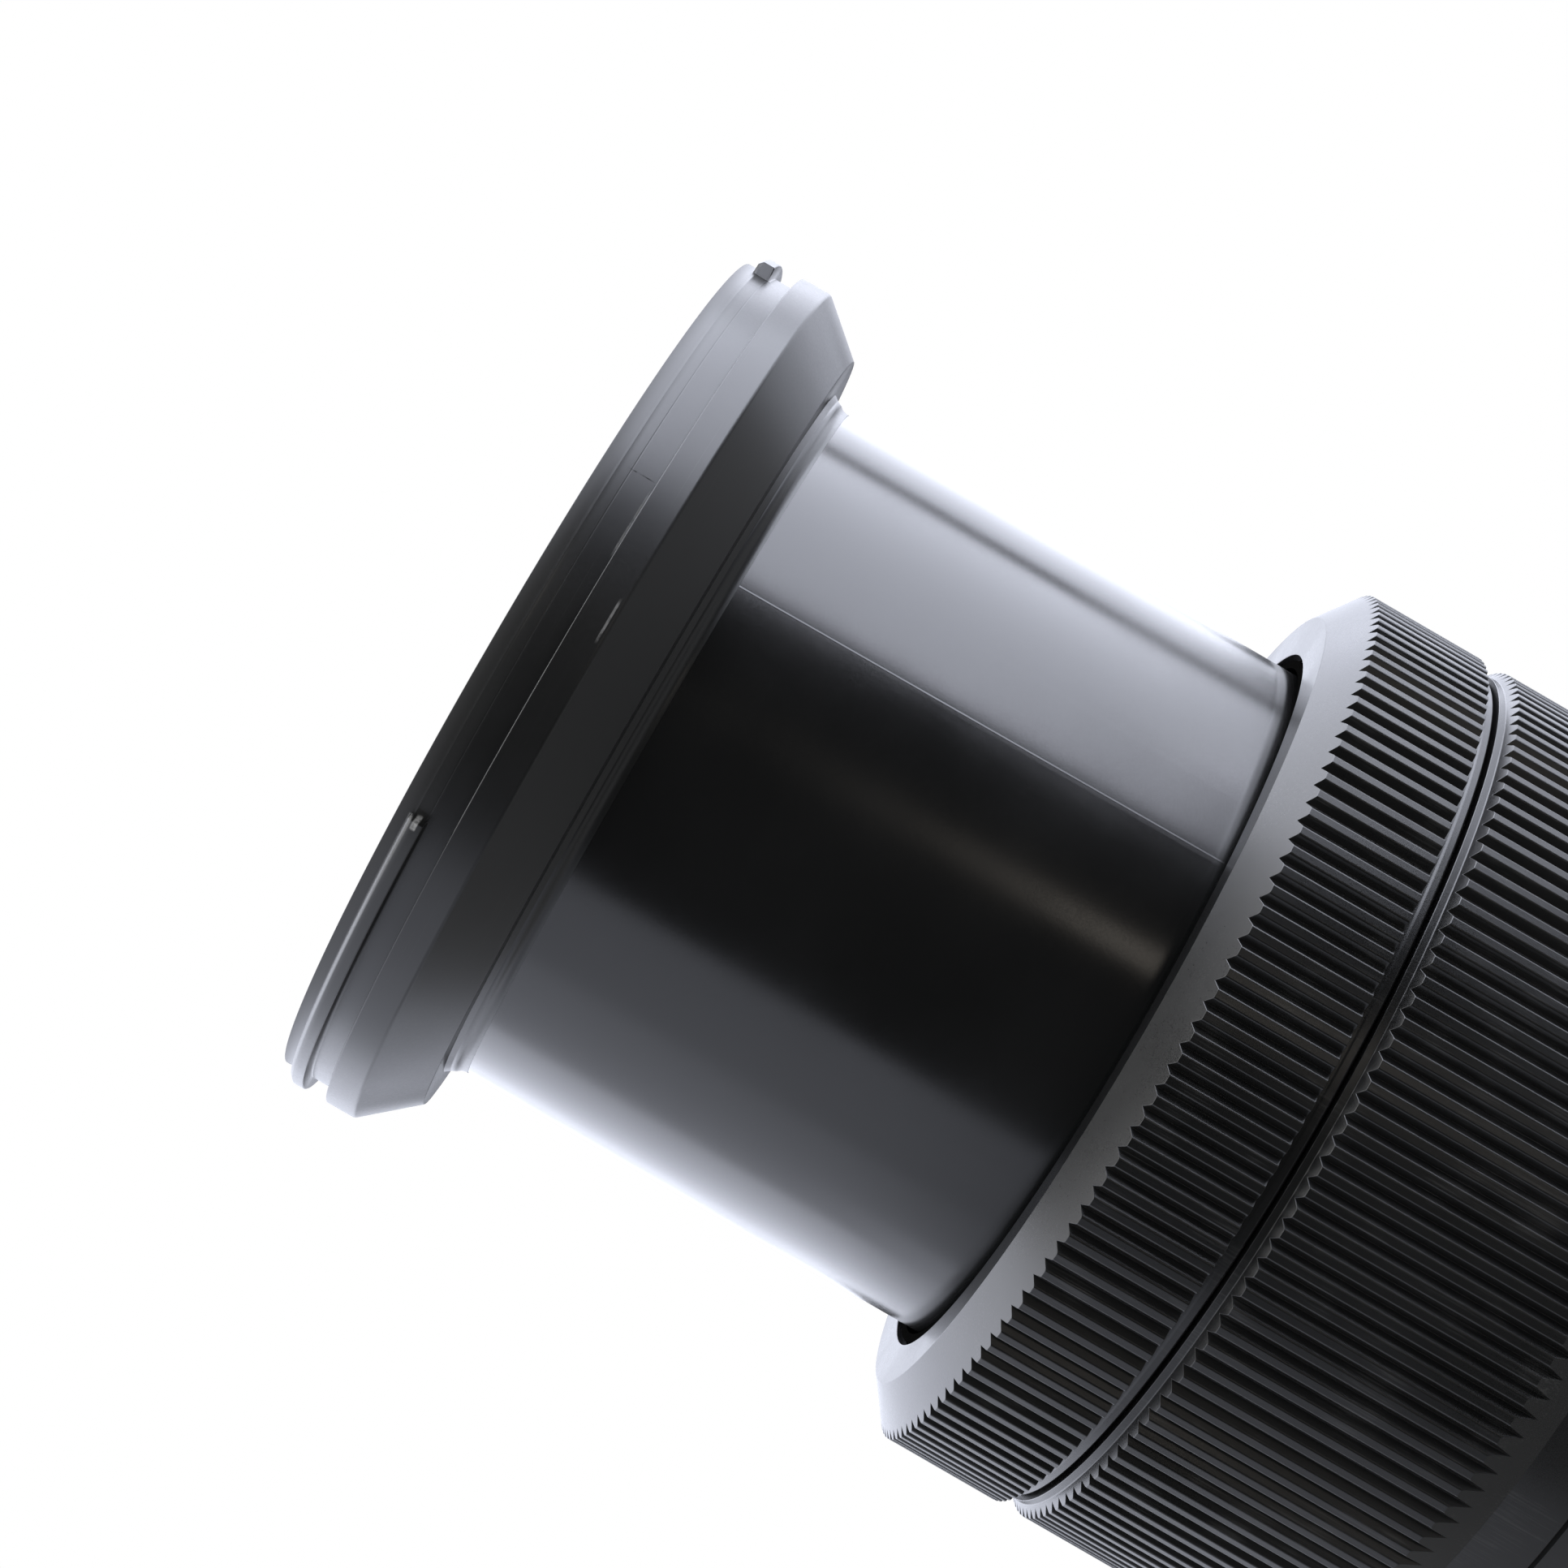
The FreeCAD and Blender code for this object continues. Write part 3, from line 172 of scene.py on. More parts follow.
# Mount. A plated ring with its bayonet lugs, held by four screws, a thin rubber gasket, the black
# baffle with its window, and the row of sprung gold contacts in its black holder.
def turned_metal(name, colour, roughness, groove):
    """Metal turned on a lathe: fine circles about the axis and a soft uneven sheen."""
    material, tree, surface, place = start_material(name)
    x, y, z = put(tree, "SeparateXYZ", {"Vector": place}).outputs[:3]
    squares = put(tree, "Math", {0: x, 1: x}, operation="MULTIPLY").outputs[0]
    squares = put(tree, "Math", {0: y, 1: y, 2: squares}, operation="MULTIPLY_ADD").outputs[0]
    radius = put(tree, "Math", {0: squares}, operation="SQRT").outputs[0]
    line = put(tree, "Math", {0: radius, 1: z}).outputs[0]
    turns = {"W": line, "Scale": 1 / groove, "Detail": 3.0}
    rings = put(tree, "TexNoise", turns, noise_dimensions="1D")
    cloud = put(tree, "TexNoise", {"Vector": place, "Scale": 160.0, "Detail": 4.0})
    darker = tuple(c * 0.86 for c in colour[:3]) + (1.0,)
    tree.links.new(mixed(tree, cloud.outputs["Fac"], darker, colour), surface.inputs["Base Color"])
    sheen = spread(tree, cloud.outputs["Fac"], 0.3, 0.7, roughness - 0.04, roughness + 0.05)
    tree.links.new(sheen, surface.inputs["Roughness"])
    bump = put(tree, "Bump", {"Height": rings.outputs["Fac"], "Strength": 0.6, "Distance": 0.000004})
    tree.links.new(bump.outputs["Normal"], surface.inputs["Normal"])
    surface.inputs["Metallic"].default_value = 1.0
    return material


def mottled(name, scale, detail, dark, light, roughness, strength=0.0, relief=0.0):
    """A skin of uneven colour, with a fine relief of the same pattern where it has one."""
    material, tree, surface, place = start_material(name)
    pattern = put(tree, "TexNoise", {"Vector": place, "Scale": scale, "Detail": detail})
    colour = mixed(tree, pattern.outputs["Fac"], dark, light)
    tree.links.new(colour, surface.inputs["Base Color"])
    surface.inputs["Roughness"].default_value = roughness
    if relief:
        height = {"Height": pattern.outputs["Fac"], "Strength": strength, "Distance": relief}
        bump = put(tree, "Bump", height)
        tree.links.new(bump.outputs["Normal"], surface.inputs["Normal"])
    return material


mount_plate = turned_metal(
    "mount_plate", colour=(0.74, 0.74, 0.75, 1.0), roughness=0.24, groove=0.00012
)
dress(mount_plate, "mount_ring")
screw_steel = turned_metal(
    "screw_steel", colour=(0.56, 0.56, 0.57, 1.0), roughness=0.3, groove=0.00015
)
dress(screw_steel, "mount_screws")
gasket_rubber = mottled(
    "gasket_rubber",
    scale=5000.0,
    detail=4.0,
    dark=grey(0.014),
    light=grey(0.03),
    roughness=0.75,
    strength=0.8,
    relief=0.00002,
)
dress(gasket_rubber, "mount_gasket")
contact_gold = turned_metal(
    "contact_gold", colour=(0.83, 0.64, 0.3, 1.0), roughness=0.25, groove=0.0001
)
dress(contact_gold, "contact_pins")
inner_plastic = moulded_black(
    "inner_plastic", level=0.02, roughness=0.6, grain=0.0002, relief=0.00001
)
dress(inner_plastic, "contact_block", "rear_baffle")

# Index bead. A small bead of white enamel, pressed into the collar beside the mount, that shows
# which way round the lens goes on.
index_enamel = mottled(
    "index_enamel",
    scale=1500.0,
    detail=3.0,
    dark=grey(0.78, 0.02),
    light=grey(0.9, 0.01),
    roughness=0.3,
    strength=0.5,
    relief=0.00001,
)
dress(index_enamel, "index_dot")

# Zoom ring. A wide grip moulded in black plastic: 142 flat-topped ribs with V grooves between them, cut
# off by a short chamfer and a narrow rim in front and by a long cone down to the smooth tail behind.
# Sizes are in millimetres and degrees, from here to the front ring.
grip_radius = 30.798
groove_radius = 30.3
rib_count = 142
rib_top_share = 0.41
rib_edge = 0.09
rib_edge_drop = 0.072
rib_end_edge = 0.035
ring_edge = 0.06
groove_floor_half = 0.03
groove_floor_rise = 0.04
beyond_grip = 0.1


def rib_columns(first_groove):
    """Angle, radius and facing angle of every column round a grip, with rounded ribs and grooves."""
    pitch = 360.0 / rib_count
    mm = math.degrees(1 / grip_radius)
    wall = pitch / 2 * (1 - rib_top_share)
    depth = grip_radius - groove_radius
    steep = 90.0 - math.degrees(math.atan2(math.radians(wall) * grip_radius, depth))
    half = [(groove_floor_half * mm, groove_radius + groove_floor_rise, -steep)]
    corner = grip_radius - rib_edge_drop
    start = wall * (corner - groove_radius) / depth
    half.append((start, corner, -steep))
    for share in (0.35, 0.7):
        rise = corner + (grip_radius - corner) * (1 - (1 - share) ** 2)
        half.append((start + (wall + rib_edge * mm - start) * share, rise, -steep * (1 - share)))
    half.append((wall + rib_edge * mm, grip_radius, 0.0))
    columns = []
    for i in range(rib_count):
        middle = first_groove + i * pitch
        for side in (-1, 1):
            rib = middle + side * pitch / 2
            found = []
            for away, radius, lean in half:
                turn = (middle if lean else rib) + side * lean
                found.append((middle + side * away, radius, turn))
            columns += found[::-1] + [(middle, groove_radius, middle)] if side < 0 else found
    return columns


def between(a, b, share):
    """A point or a direction part of the way from a to b."""
    return tuple(p + (q - p) * share for p, q in zip(a, b))


def facing(a, b):
    """The direction that an outline's side faces, on the right of the way from a to b."""
    length = max(math.dist(a, b), 1e-9)
    return ((b[1] - a[1]) / length, (a[0] - b[0]) / length)


def rounded(points, size):
    """Each corner between the two ends of an outline as a small arc, with the way that it faces."""
    made = []
    for before, corner, after in zip(points, points[1:], points[2:]):
        start = between(corner, before, min(0.45, size / max(math.dist(corner, before), 1e-6)))
        end = between(corner, after, min(0.45, size / max(math.dist(corner, after), 1e-6)))
        for share in (0.0, 0.33, 0.67, 1.0):
            spot = between(between(start, corner, share), between(corner, end, share), share)
            made.append(spot + between(facing(before, corner), facing(corner, after), share))
    return made


def at_radius(a, b, radius):
    """Where the line from a to b has that radius."""
    return between(a, b, (radius - a[0]) / (b[0] - a[0]))


def loft(name, columns, body, material, node):
    """One closed surface from columns of (angle, outline), in place of a node.

    Each point of an outline is its radius, height, and the way it faces outward and upward; a fifth
    value is the angle that it faces, where that isn't the column's own.
    """
    steps = len(columns[0][1])
    points, faces, normals = [], [], []
    for angle, outline in columns:
        c, s = math.cos(math.radians(angle)), math.sin(math.radians(angle))
        for r, z, out, up, *turn in outline:
            points.append((r * c / 1000, r * s / 1000, z / 1000))
            side = math.radians(turn[0] if turn else angle)
            normals.append(Vector((out * math.cos(side), out * math.sin(side), up)).normalized())
    count = len(points)
    for i in range(0, count, steps):
        for j in range(steps):
            k = (j + 1) % steps
            faces.append((i + j, (i + steps) % count + j, (i + steps) % count + k, i + k))
    mesh = bpy.data.meshes.new(name)
    mesh.from_pydata(points, [], faces)
    mesh.shade_smooth()
    mesh.normals_split_custom_set_from_vertices(normals)
    mesh.materials.append(material)
    piece = bpy.data.objects.new(name, mesh)
    scene.collection.objects.link(piece)
    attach(piece, body)
    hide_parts(node)


def grip(name, rear, front, first_groove, body, node):
    """A ribbed ring: both outlines cut the ribs off, so that each groove ends in a point."""
    rear_round = rounded(rear, ring_edge)
    front_round = rounded(front, ring_edge)
    rear_facing = facing(rear[-2], rear[-1])
    front_facing = facing(front[0], front[1])
    columns = []
    for angle, radius, turn in rib_columns(first_groove):
        low = at_radius(rear[-2], rear[-1], radius)
        high = at_radius(front[1], front[0], radius)
        ends = []
        for tip, other, outer, cone in (
            (low, high, rear[-2], rear_facing),
            (high, low, front[1], front_facing),
        ):
            on_rib = between(tip, other, rib_end_edge / abs(tip[1] - other[1]))
            on_cone = between(tip, outer, rib_end_edge / math.dist(tip, outer))
            middle = between(between(on_rib, tip, 0.5), between(tip, on_cone, 0.5), 0.5)
            half_way = between((1.0, 0.0), cone, 0.5)
            middle += half_way + ((turn + angle) / 2,)
            ends.append([on_rib + (1.0, 0.0, turn), middle, on_cone + cone])
        run = [between(low, high, share) + (1.0, 0.0, turn) for share in (0.3, 0.7)]
        columns.append((angle, rear_round + ends[0][::-1] + run + ends[1] + front_round))
    loft(name, columns, body, grip_plastic, node)


def rib_wear(tree, place):
    """Fine scratches along the ribs, more on some ribs than on others."""
    across = put(tree, "Mapping", {"Vector": place, "Scale": (1.0, 1.0, 0.03)}).outputs[0]
    fine = put(tree, "TexNoise", {"Vector": across, "Scale": 9000.0, "Detail": 3.0})
    wide = put(tree, "TexNoise", {"Vector": place, "Scale": 260.0, "Detail": 3.0})
    pair = {0: fine.outputs["Fac"], 1: wide.outputs["Fac"]}
    both = put(tree, "Math", pair, operation="MULTIPLY").outputs[0]
    return [(spread(tree, both, 0.3, 0.46, 0.0, 0.16), 0.12)]


grip_plastic = moulded_black(
    "grip_plastic",
    level=0.006,
    roughness=0.3,
    grain=0.00012,
    relief=0.0000016,
    clean=0.96,
    wear=rib_wear,
)
zoom_rear = 28.85
zoom_middle = 40.0
zoom_front = 52.38
zoom_bore_radius = 26.65
zoom_mouth_radius = 27.6
zoom_mouth_floor = 51.4
zoom_rim_radius = 30.1
zoom_tail_radius = 29.84
zoom_foot = 51.9
zoom_cone_foot = 32.45
zoom_chamfer_slope = 0.7
zoom_cone_slope = 2.6
zoom_first_groove = -90.18
outside = grip_radius + beyond_grip
zoom_rear_outline = [
    (zoom_bore_radius, zoom_middle),
    (zoom_bore_radius, zoom_rear),
    (zoom_tail_radius, zoom_rear),
    (zoom_tail_radius, zoom_cone_foot),
    (outside, zoom_cone_foot + (outside - zoom_tail_radius) * zoom_cone_slope),
]
zoom_front_outline = [
    (outside, zoom_foot - (outside - zoom_rim_radius) * zoom_chamfer_slope),
    (zoom_rim_radius, zoom_foot),
    (zoom_rim_radius, zoom_front),
    (zoom_mouth_radius, zoom_front),
    (zoom_mouth_radius, zoom_mouth_floor),
    (zoom_bore_radius, zoom_mouth_floor),
    (zoom_bore_radius, zoom_middle),
]
grip(
    "zoom_grip_ring",
    zoom_rear_outline,
    zoom_front_outline,
    zoom_first_groove,
    body="zoom_grip",
    node="zoom_ring",
)

# Focus ring. The narrow grip in front of it, moulded in the same plastic: a smooth band behind the
# ribs and a long chamfer in front, down to the face round the sliding barrel.
focus_rear = 52.55
focus_front = 63.3
focus_bore_radius = 27.28
focus_bore_middle = 56.0
focus_seat_radius = 28.8
focus_seat_floor = 54.65
focus_face_radius = 28.0
focus_lip_radius = 25.28
focus_lip_depth = 0.7
focus_edge = (0.15, 0.12)
focus_band_radius = 29.85
focus_band_low_radius = 29.83
focus_band_step = (53.1, 53.2)
focus_band_top = 53.47
rib_end_slope = 0.04
focus_chamfer_slope = 2.05 / 2.8
focus_first_groove = -89.83
focus_rear_outline = [
    (focus_bore_radius, focus_bore_middle),
    (focus_bore_radius, focus_seat_floor),
    (focus_seat_radius, focus_seat_floor),
    (focus_seat_radius, focus_rear),
    (focus_band_radius - focus_edge[0], focus_rear),
    (focus_band_radius, focus_rear + focus_edge[1]),
    (focus_band_radius, focus_band_step[0]),
    (focus_band_low_radius, focus_band_step[1]),
    (focus_band_low_radius, focus_band_top),
    (outside, focus_band_top + (outside - focus_band_low_radius) * rib_end_slope),
]
focus_front_outline = [
    (outside, focus_front - (outside - focus_face_radius) * focus_chamfer_slope),
    (focus_face_radius, focus_front),
    (focus_lip_radius, focus_front),
    (focus_lip_radius, focus_front - focus_lip_depth),
    (focus_bore_radius, focus_front - focus_lip_depth),
    (focus_bore_radius, focus_bore_middle),
]
grip(
    "focus_grip_ring",
    focus_rear_outline,
    focus_front_outline,
    focus_first_groove,
    body="focus_grip",
    node="focus_ring",
)

# Sliding barrel. A smooth tube of satin black plastic with the fine line of its mould along it; it
# slides out of the focus ring and carries the front ring.
tube_plastic = moulded_black(
    "tube_plastic", level=0.0065, roughness=0.19, grain=0.00012, relief=0.0000015, clean=0.975
)
dress(tube_plastic, "sliding_tube")
line_ends = ((47.0, -64.25), (95.9, -65.0))
line_half_width = 0.13
line_foot = 24.09
line_section = (
    (-line_half_width, line_foot),
    (-line_half_width, 24.122),
    (line_half_width, 24.114),
    (line_half_width, line_foot),
)
line_points = []
for height, line_angle in line_ends:
    for turn, radius in line_section:
        angle = math.radians(line_angle + turn)
        spot = (radius * math.cos(angle), radius * math.sin(angle), height)
        line_points.append(tuple(value / 1000 for value in spot))
line_faces = [(3, 2, 1, 0), (4, 5, 6, 7)]
line_faces += [(i, (i + 1) % 4, (i + 1) % 4 + 4, i + 4) for i in range(4)]
line_mesh = bpy.data.meshes.new("mould_line")
line_mesh.from_pydata(line_points, [], line_faces)
line_mesh.materials.append(tube_plastic)
mould_line = bpy.data.objects.new("mould_line", line_mesh)
scene.collection.objects.link(mould_line)
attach(mould_line, "front_barrel")

# Front ring. One moulding in black plastic, screwed to the sliding barrel: a narrow neck, a cone that
# widens to a ridge, the drum with its two hood lugs, and the cup with the filter thread inside.
front_height = 105.65
front_radius = 29.2
front_steps = 360
first_column = 0.37
root_radius = 24.13
root_rear = 95.5
root_step = 0.075
root_rise = 0.34
root_steps = 10
neck_edge = 0.04
cone_edge = 0.16
ridge_radius = 30.1
ridge_rear = 100.23
ridge_front = 102.2
ridge_foot = 102.23
ridge_edge = 0.09
lug_starts = (-110.5, 69.5)
lug_span = 85.7
lug_end = 0.15
filter_radius = 27.3
thread_pitch = 0.75
thread_depth = 0.3
thread_turns = 4
cup_floor = 101.8
cup_edge = 0.05
cell_radii = (27.0, 26.6)
cell_floors = (100.85, 97.9)
seat_radius = 24.15
seat_rear = 97.0


def ramp(value, start, end):
    """0 before the start, 1 past the end, and even in between."""
    return min(1.0, max(0.0, (value - start) / (end - start)))


def lug_share(angle):
    """1 on a lug and 0 between the lugs, with a short slope at each end."""
    share = 0.0
    for start in lug_starts:
        back = (start - angle) % 360.0
        on_lug = min(ramp(back, 0.0, lug_end), 1.0 - ramp(back, lug_span - lug_end, lug_span))
        share = max(share, on_lug)
    return share


def faced(points):
    """Gives each point of a line the mean of the ways that its sides face; both ends face outward."""
    sides = [facing(a, b) for a, b in zip(points, points[1:])]
    ways = [(1.0, 0.0)] + [between(a, b, 0.5) for a, b in zip(sides, sides[1:])] + [(1.0, 0.0)]
    return [point + way for point, way in zip(points, ways)]


def front_outline(share):
    """The section of the front ring, on a lug or between two."""
    root = []
    for i in range(root_steps + 1):
        rise = root_rise * (i / root_steps) ** 2.4
        root.append((root_radius + rise, root_rear + root_step * i))
    neck = [(24.55, 96.5), (24.82, 96.86), (27.2, 96.88)]
    crest = [(ridge_radius, ridge_rear), (ridge_radius, ridge_front)]
    low = [(root_radius, seat_rear, -1.0, 0.0)] + faced(root)[:-1]
    low += rounded([root[-1]] + neck + crest[:1], neck_edge)
    low += rounded([neck[-1]] + crest, cone_edge)
    low += rounded(crest + [(front_radius, ridge_foot)], ridge_edge)
    low += [(front_radius, ridge_foot, 1.0, 0.0), (front_radius, 103.5, 1.0, 0.0)]
    plain = [
        (front_radius, 103.6),
        (front_radius, 103.78),
        (front_radius, 103.83),
        (front_radius - 0.012, 103.86),
        (front_radius - 0.012, 103.88),
        (front_radius, 103.91),
        (front_radius, 103.93),
        (front_radius, 104.3),
        (front_radius, 104.56),
        (front_radius + 0.015, 104.61),
        (front_radius + 0.015, 104.64),
        (front_radius, 104.69),
        (front_radius, 104.8),
        (front_radius, 105.0),
    ]
    lug = [
        (front_radius, 103.6),
        (front_radius, 103.77),
        (ridge_radius - 0.06, 103.8),
        (ridge_radius, 103.86),
        (ridge_radius, 103.9),
        (ridge_radius, 103.95),
        (ridge_radius, 104.0),
        (ridge_radius, 104.3),
        (ridge_radius, 104.54),
        (ridge_radius - 0.05, 104.61),
        (ridge_radius - 0.27, 104.82),
        (front_radius + 0.05, 104.86),
        (front_radius, 104.88),
        (front_radius, 105.0),
    ]
    top = [(front_radius, 105.1), (front_radius, front_height), (filter_radius + 0.6, front_height)]
    top.append((filter_radius, front_height - 0.5))
    for turn in range(thread_turns):
        height = front_height - (turn + 1) * thread_pitch
        top += [(filter_radius, height), (filter_radius + thread_depth, height - 0.3)]
        top += [(filter_radius + thread_depth, height - 0.4), (filter_radius, height - 0.7)]
    top += [(filter_radius, cup_floor), (cell_radii[0], cup_floor)]
    top += [(cell_radii[0], cell_floors[0]), (cell_radii[1], cell_floors[0])]
    top += [(cell_radii[1], cell_floors[1]), (seat_radius, cell_floors[1])]
    top.append((seat_radius, seat_rear))
    middle = [between(a, b, share) for a, b in zip(plain, lug)]
    return low + faced(middle) + rounded(top, cup_edge)


def front_angles():
    """Even columns round the ring, with more at the ends of the lugs."""
    angles = [i * 360.0 / front_steps + first_column for i in range(front_steps)]
    for start in lug_starts:
        for edge in (0.0, lug_end, lug_span - lug_end, lug_span):
            angles.append((start - edge) % 360.0)
    return sorted(angles)


# Rubbed spots, the worn end of a lug and the line of the mould: angle and half its width in degrees,
# height and half its width in metres, and the grey that shows.
rubbed_marks = (
    (-81.4, 2.8, 0.10055, 0.00009, 0.13),
    (-70.2, 4.8, 0.1023, 0.0001, 0.13),
    (-110.9, 0.7, 0.1043, 0.0002, 0.32),
    (-64.4, 0.09, 0.1032, 0.001, 0.004),
    (-99.0, 12.0, 0.1022, 0.00004, 0.12),
)


def ring_marks(tree, place):
    """The drum paler towards its front edge, faint circular scratches and the rubbed marks."""
    x, y, height = put(tree, "SeparateXYZ", {"Vector": place}).outputs[:3]
    angle = put(tree, "Math", {0: y, 1: x}, operation="ARCTAN2").outputs[0]
    grit = put(tree, "TexNoise", {"Vector": place, "Scale": 2600.0, "Detail": 4.0})
    across = put(tree, "Math", {0: height, 1: 9000.0}, operation="MULTIPLY").outputs[0]
    along = put(tree, "CombineXYZ", {"X": angle, "Y": across, "Z": 0.0}).outputs[0]
    scratches = put(tree, "TexNoise", {"Vector": along, "Scale": 1.6, "Detail": 3.0})
    # The drum turns paler from behind the lugs up to its front edge.
    found = [(spread(tree, height, 0.1036, 0.10565, 0.0, 0.5), 0.05)]
    found.append((spread(tree, scratches.outputs["Fac"], 0.66, 0.8, 0.0, 0.45), 0.06))
    for middle, half, level, deep, shade in rubbed_marks:
        inside = 1.0
        for value, centre, width in (
            (angle, math.radians(middle), math.radians(half)),
            (height, level, deep),
        ):
            away = put(tree, "Math", {0: value, 1: centre}, operation="SUBTRACT").outputs[0]
            away = put(tree, "Math", {0: away}, operation="ABSOLUTE").outputs[0]
            near = spread(tree, away, width, width * 0.6, 0.0, 1.0)
            inside = put(tree, "Math", {0: near, 1: inside}, operation="MULTIPLY").outputs[0]
        uneven = spread(tree, grit.outputs["Fac"], 0.35, 0.55, 0.25, 1.0)
        share = put(tree, "Math", {0: inside, 1: uneven}, operation="MULTIPLY").outputs[0]
        found.append((share, shade))
    return found


ring_plastic = moulded_black(
    "ring_plastic",
    level=0.008,
    roughness=0.33,
    grain=0.00016,
    relief=0.000001,
    clean=0.96,
    wear=ring_marks,
)
front_columns = [(angle, front_outline(lug_share(angle))) for angle in front_angles()]
loft("front_rim", front_columns, "front_barrel", ring_plastic, "front_ring")


# Glass. Coated elements in blackened cells and threaded rings: the large front one behind its bare
# bezel, the two inner ones, the focus element and the rear pair.
def coated_glass(name, tint):
    """Polished glass with a faint coloured coating that shows at the edge of a reflection."""
    material, tree, surface, place = start_material(name)
    haze = put(tree, "TexNoise", {"Vector": place, "Scale": 260.0, "Detail": 4.0})
    dust = dust_share(tree, place, 500.0, 0.00004, 0.93)
    film = spread(tree, haze.outputs["Fac"], 0.4, 0.8, 0.0, 0.02)
    rough = put(tree, "Math", {0: film, 1: dust}, operation="MAXIMUM")
    tree.links.new(rough.outputs[0], surface.inputs["Roughness"])
    edge = put(tree, "LayerWeight", {"Blend": 0.35}).outputs["Facing"]
    tree.links.new(mixed(tree, edge, (0.96, 0.98, 0.97, 1.0), tint), surface.inputs["Base Color"])
    surface.inputs["Transmission Weight"].default_value = 1.0
    surface.inputs["IOR"].default_value = 1.6
    surface.inputs["Specular Tint"].default_value = tint
    return material


dress(barrel_plastic, "front_bezel")
front_glass = coated_glass("front_coating", tint=(0.45, 0.72, 0.62, 1.0))
inner_glass = coated_glass("inner_coating", tint=(0.62, 0.5, 0.78, 1.0))
dress(front_glass, "front_lens", "rear_lens")
dress(inner_glass, "front_inner_lens", "middle_lens", "focus_lens", "rear_inner_lens")
cell_black = moulded_black(
    "cell_black", level=0.015, roughness=0.5, grain=0.00015, relief=0.000006
)
dress(cell_black, "front_lens_cell", "front_lens_ring", "front_inner_ring", "middle_ring")
dress(cell_black, "rear_lens_cell", "rear_lens_ring", "focus_holder")

# Guide tube, cam barrel and focus sleeve, turned in blackened metal, with the snap ring and the focus
# rods of bare steel, the blackened screws and keys, and the brass slide of the zoom brush.
anodised = turned_metal(
    "anodised_black", colour=(0.045, 0.045, 0.05, 1.0), roughness=0.45, groove=0.0002
)
dress(anodised, "guide_tube", "cam_barrel", "focus_sleeve")
dress(screw_steel, "snap_ring", "focus_rods")
screw_black = turned_metal(
    "screw_black", colour=(0.06, 0.06, 0.06, 1.0), roughness=0.4, groove=0.00015
)
dress(screw_black, "barrel_screws", "barrel_roller_screws", "front_ring_screws", "plate_screws")
dress(screw_black, "group_roller_screws", "zoom_keys")
slide_brass = turned_metal(
    "slide_brass", colour=(0.75, 0.55, 0.25, 1.0), roughness=0.3, groove=0.0001
)
dress(slide_brass, "zoom_brush")

# Light seal. A ring of black felt and its flocked collar, glued in the mouth round the sliding barrel.
# The nap gives back almost no light and has no shine at all.
flock = mottled(
    "flock",
    scale=9000.0,
    detail=5.0,
    dark=grey(0.002),
    light=grey(0.014),
    roughness=0.95,
    strength=1.0,
    relief=0.00008,
)
flock.node_tree.nodes["Principled BSDF"].inputs["Specular IOR Level"].default_value = 0.0
dress(flock, "felt_ring", "front_collar")

# Rollers. White nylon sleeves on the screws of the sliding barrel and of the middle group, which run
# in the slots of the guide tube and the cam barrel.
nylon = mottled(
    "nylon",
    scale=2500.0,
    detail=3.0,
    dark=grey(0.7, 0.02),
    light=grey(0.85, 0.02),
    roughness=0.45,
)
dress(nylon, "barrel_rollers", "group_rollers")

# Circuit boards. The ring behind the rear lens cell, the strip that the zoom brush reads and the
# focus sensor, in green laminate with its weave showing through.
board, tree, surface, place = start_material("board")
weave = put(tree, "TexVoronoi", {"Vector": place, "Scale": 1800.0})
laminate = mixed(tree, weave.outputs["Distance"], (0.01, 0.07, 0.03, 1.0), (0.03, 0.14, 0.06, 1.0))
tree.links.new(laminate, surface.inputs["Base Color"])
surface.inputs["Roughness"].default_value = 0.35
dress(board, "main_board", "zoom_strip", "focus_sensor")

# Middle group. The moulded carrier with its plate and iris, whose seven thin painted blades turn with
# the drive ring, and the little coil, magnet and yoke that move the focus element.
dress(inner_plastic, "group_carrier", "carrier_plate", "iris_housing", "drive_ring", "focus_comb")
blade_paint = moulded_black(
    "blade_paint", level=0.012, roughness=0.55, grain=0.0001, relief=0.000002, clean=0.99
)
blade_count = 7
dress(blade_paint, *["iris_blade_%d" % (i + 1) for i in range(blade_count)])
coil_copper = turned_metal(
    "coil_copper", colour=(0.7, 0.32, 0.16, 1.0), roughness=0.35, groove=0.00018
)
dress(coil_copper, "focus_coil")
yoke_nickel = turned_metal(
    "yoke_nickel", colour=(0.6, 0.59, 0.56, 1.0), roughness=0.3, groove=0.00015
)
dress(yoke_nickel, "focus_yoke", "focus_magnet")

# Light. Soft panels stand in a circle round the lens, above the table top and below it, the brightest
# at its right; the room behind the camera is dark. The panels show only in shiny surfaces, and an even
# white sky at a plain level lights the colours.
panel_distance = 0.62


def panel(name, from_angle, to_angle, bottom, top, level, tint):
    """A flat soft box that fills a span of angles, measured from the camera's side to the right."""
    middle = math.radians((from_angle + to_angle) / 2)
    width = 2 * panel_distance * math.tan(math.radians(to_angle - from_angle) / 2)
    data = bpy.data.lights.new(name, "AREA")
    data.shape = "RECTANGLE"
    data.size = width
    data.size_y = top - bottom
    data.energy = level * math.pi * width * (top - bottom)
    data.color = tint
    light = bpy.data.objects.new(name, data)
    scene.collection.objects.link(light)
    spot = Vector((math.sin(middle), -math.cos(middle), 0.0)) * panel_distance
    light.location = spot + Vector((0.0, 0.0, (top + bottom) / 2))
    light.rotation_euler = (-spot).to_track_quat("-Z", "Y").to_euler()
    light.visible_camera = False
    light.visible_diffuse = False
    light.visible_transmission = False


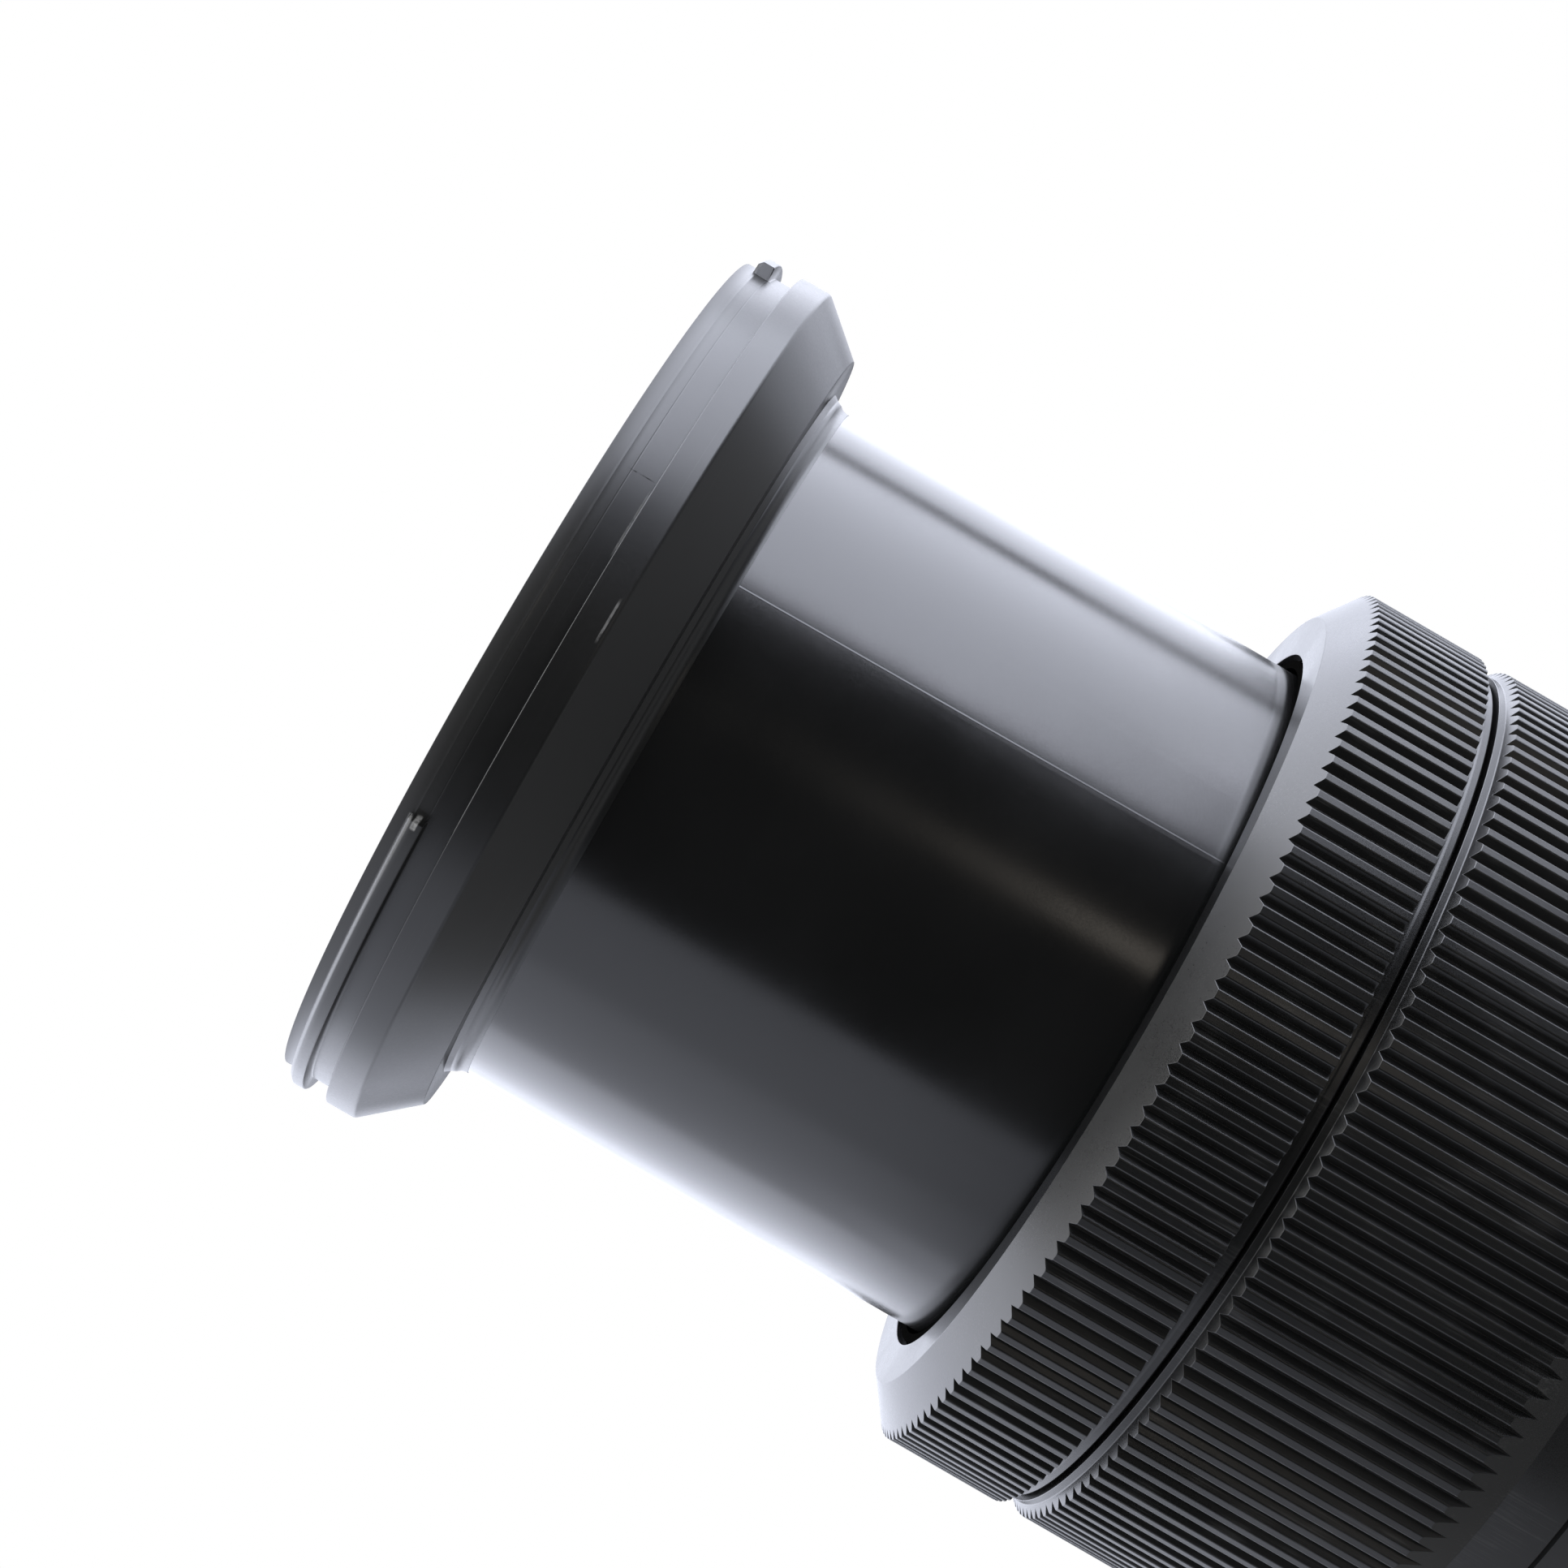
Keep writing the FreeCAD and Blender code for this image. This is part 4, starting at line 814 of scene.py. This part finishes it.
# Name, the two angles in degrees, bottom and top in metres, and how bright it shows.
cool_panels = (
    ("right_panel", 54.2, 117.0, -0.02, 1.5, 6.4),
    ("right_back_panel", 123.0, 152.0, 0.0, 1.5, 3.8),
    ("back_panel", 152.0, 208.0, 0.0, 1.5, 2.2),
    ("left_back_panel", -152.0, -112.0, 0.0, 1.0, 2.7),
    ("left_panel", -112.0, -78.0, 0.0, 1.2, 1.4),
    ("left_front_panel", -78.0, -46.0, 0.0, 1.2, 1.05),
    ("right_low_panel", 78.0, 152.0, -0.24, -0.02, 2.4),
    ("right_lower_panel", 114.0, 150.0, -0.52, -0.24, 1.7),
    ("left_low_panel", -152.0, -100.0, -0.5, 0.0, 1.6),
    ("left_front_low_panel", -100.0, -47.0, -0.5, 0.0, 0.62),
)
for row in cool_panels:
    panel(*row, tint=(0.94, 0.98, 1.12))
panel("warm_lamp", 13.5, 20.5, -0.14, 0.025, 1.5, tint=(1.0, 0.91, 0.8))

plain_level = 0.9
white_level = 1.0
world = bpy.data.worlds.new("studio")
scene.world = world
world.use_nodes = True
sky = world.node_tree
ray = put(sky, "LightPath")
straight = {0: ray.outputs["Is Camera Ray"], 1: ray.outputs["Is Transmission Ray"]}
clear = put(sky, "Math", straight, operation="MAXIMUM")
heading = put(sky, "SeparateXYZ", {"Vector": put(sky, "TexCoord").outputs["Generated"]})
# In reflections the room is dark all round, paler above and brightest straight overhead.
room = spread(sky, heading.outputs["Z"], 0.45, 1.0, 0.015, 1.6)
overhead = spread(sky, heading.outputs["Z"], 0.9, 0.97, 0.0, 4.0)
room = put(sky, "Math", {0: room, 1: overhead}, operation="ADD").outputs[0]
level = put(sky, "Mix", {"Factor": ray.outputs["Is Glossy Ray"], "A": plain_level, "B": room})
level = put(sky, "Mix", {"Factor": clear.outputs[0], "A": level.outputs[0], "B": white_level})
background = sky.nodes["Background"]
sky.links.new(level.outputs[0], background.inputs["Strength"])
background.inputs["Color"].default_value = grey(1.0)

# Floor. A round pale table top, close under the mount, that fades into the white room. It keeps the
# shadow of the lens.
floor_radius = 0.13
floor_gap = 0.0002
floor_glow = 0.7
floor_mesh = bpy.data.meshes.new("floor")
work = bmesh.new()
bmesh.ops.create_circle(work, cap_ends=True, segments=128, radius=floor_radius)
work.to_mesh(floor_mesh)
work.free()
floor = bpy.data.objects.new("floor", floor_mesh)
floor.location.z = cad_box[0].z - floor_gap
scene.collection.objects.link(floor)
table_top = mottled(
    "table_top", scale=40.0, detail=3.0, dark=grey(0.29), light=grey(0.33), roughness=0.7
)
tree = table_top.node_tree
surface = tree.nodes["Principled BSDF"]
surface.inputs["Emission Color"].default_value = grey(1.0)
glow = spread(tree, put(tree, "LightPath").outputs["Is Camera Ray"], 0.0, 1.0, 0.0, floor_glow)
tree.links.new(glow, surface.inputs["Emission Strength"])
floor_mesh.materials.append(table_top)
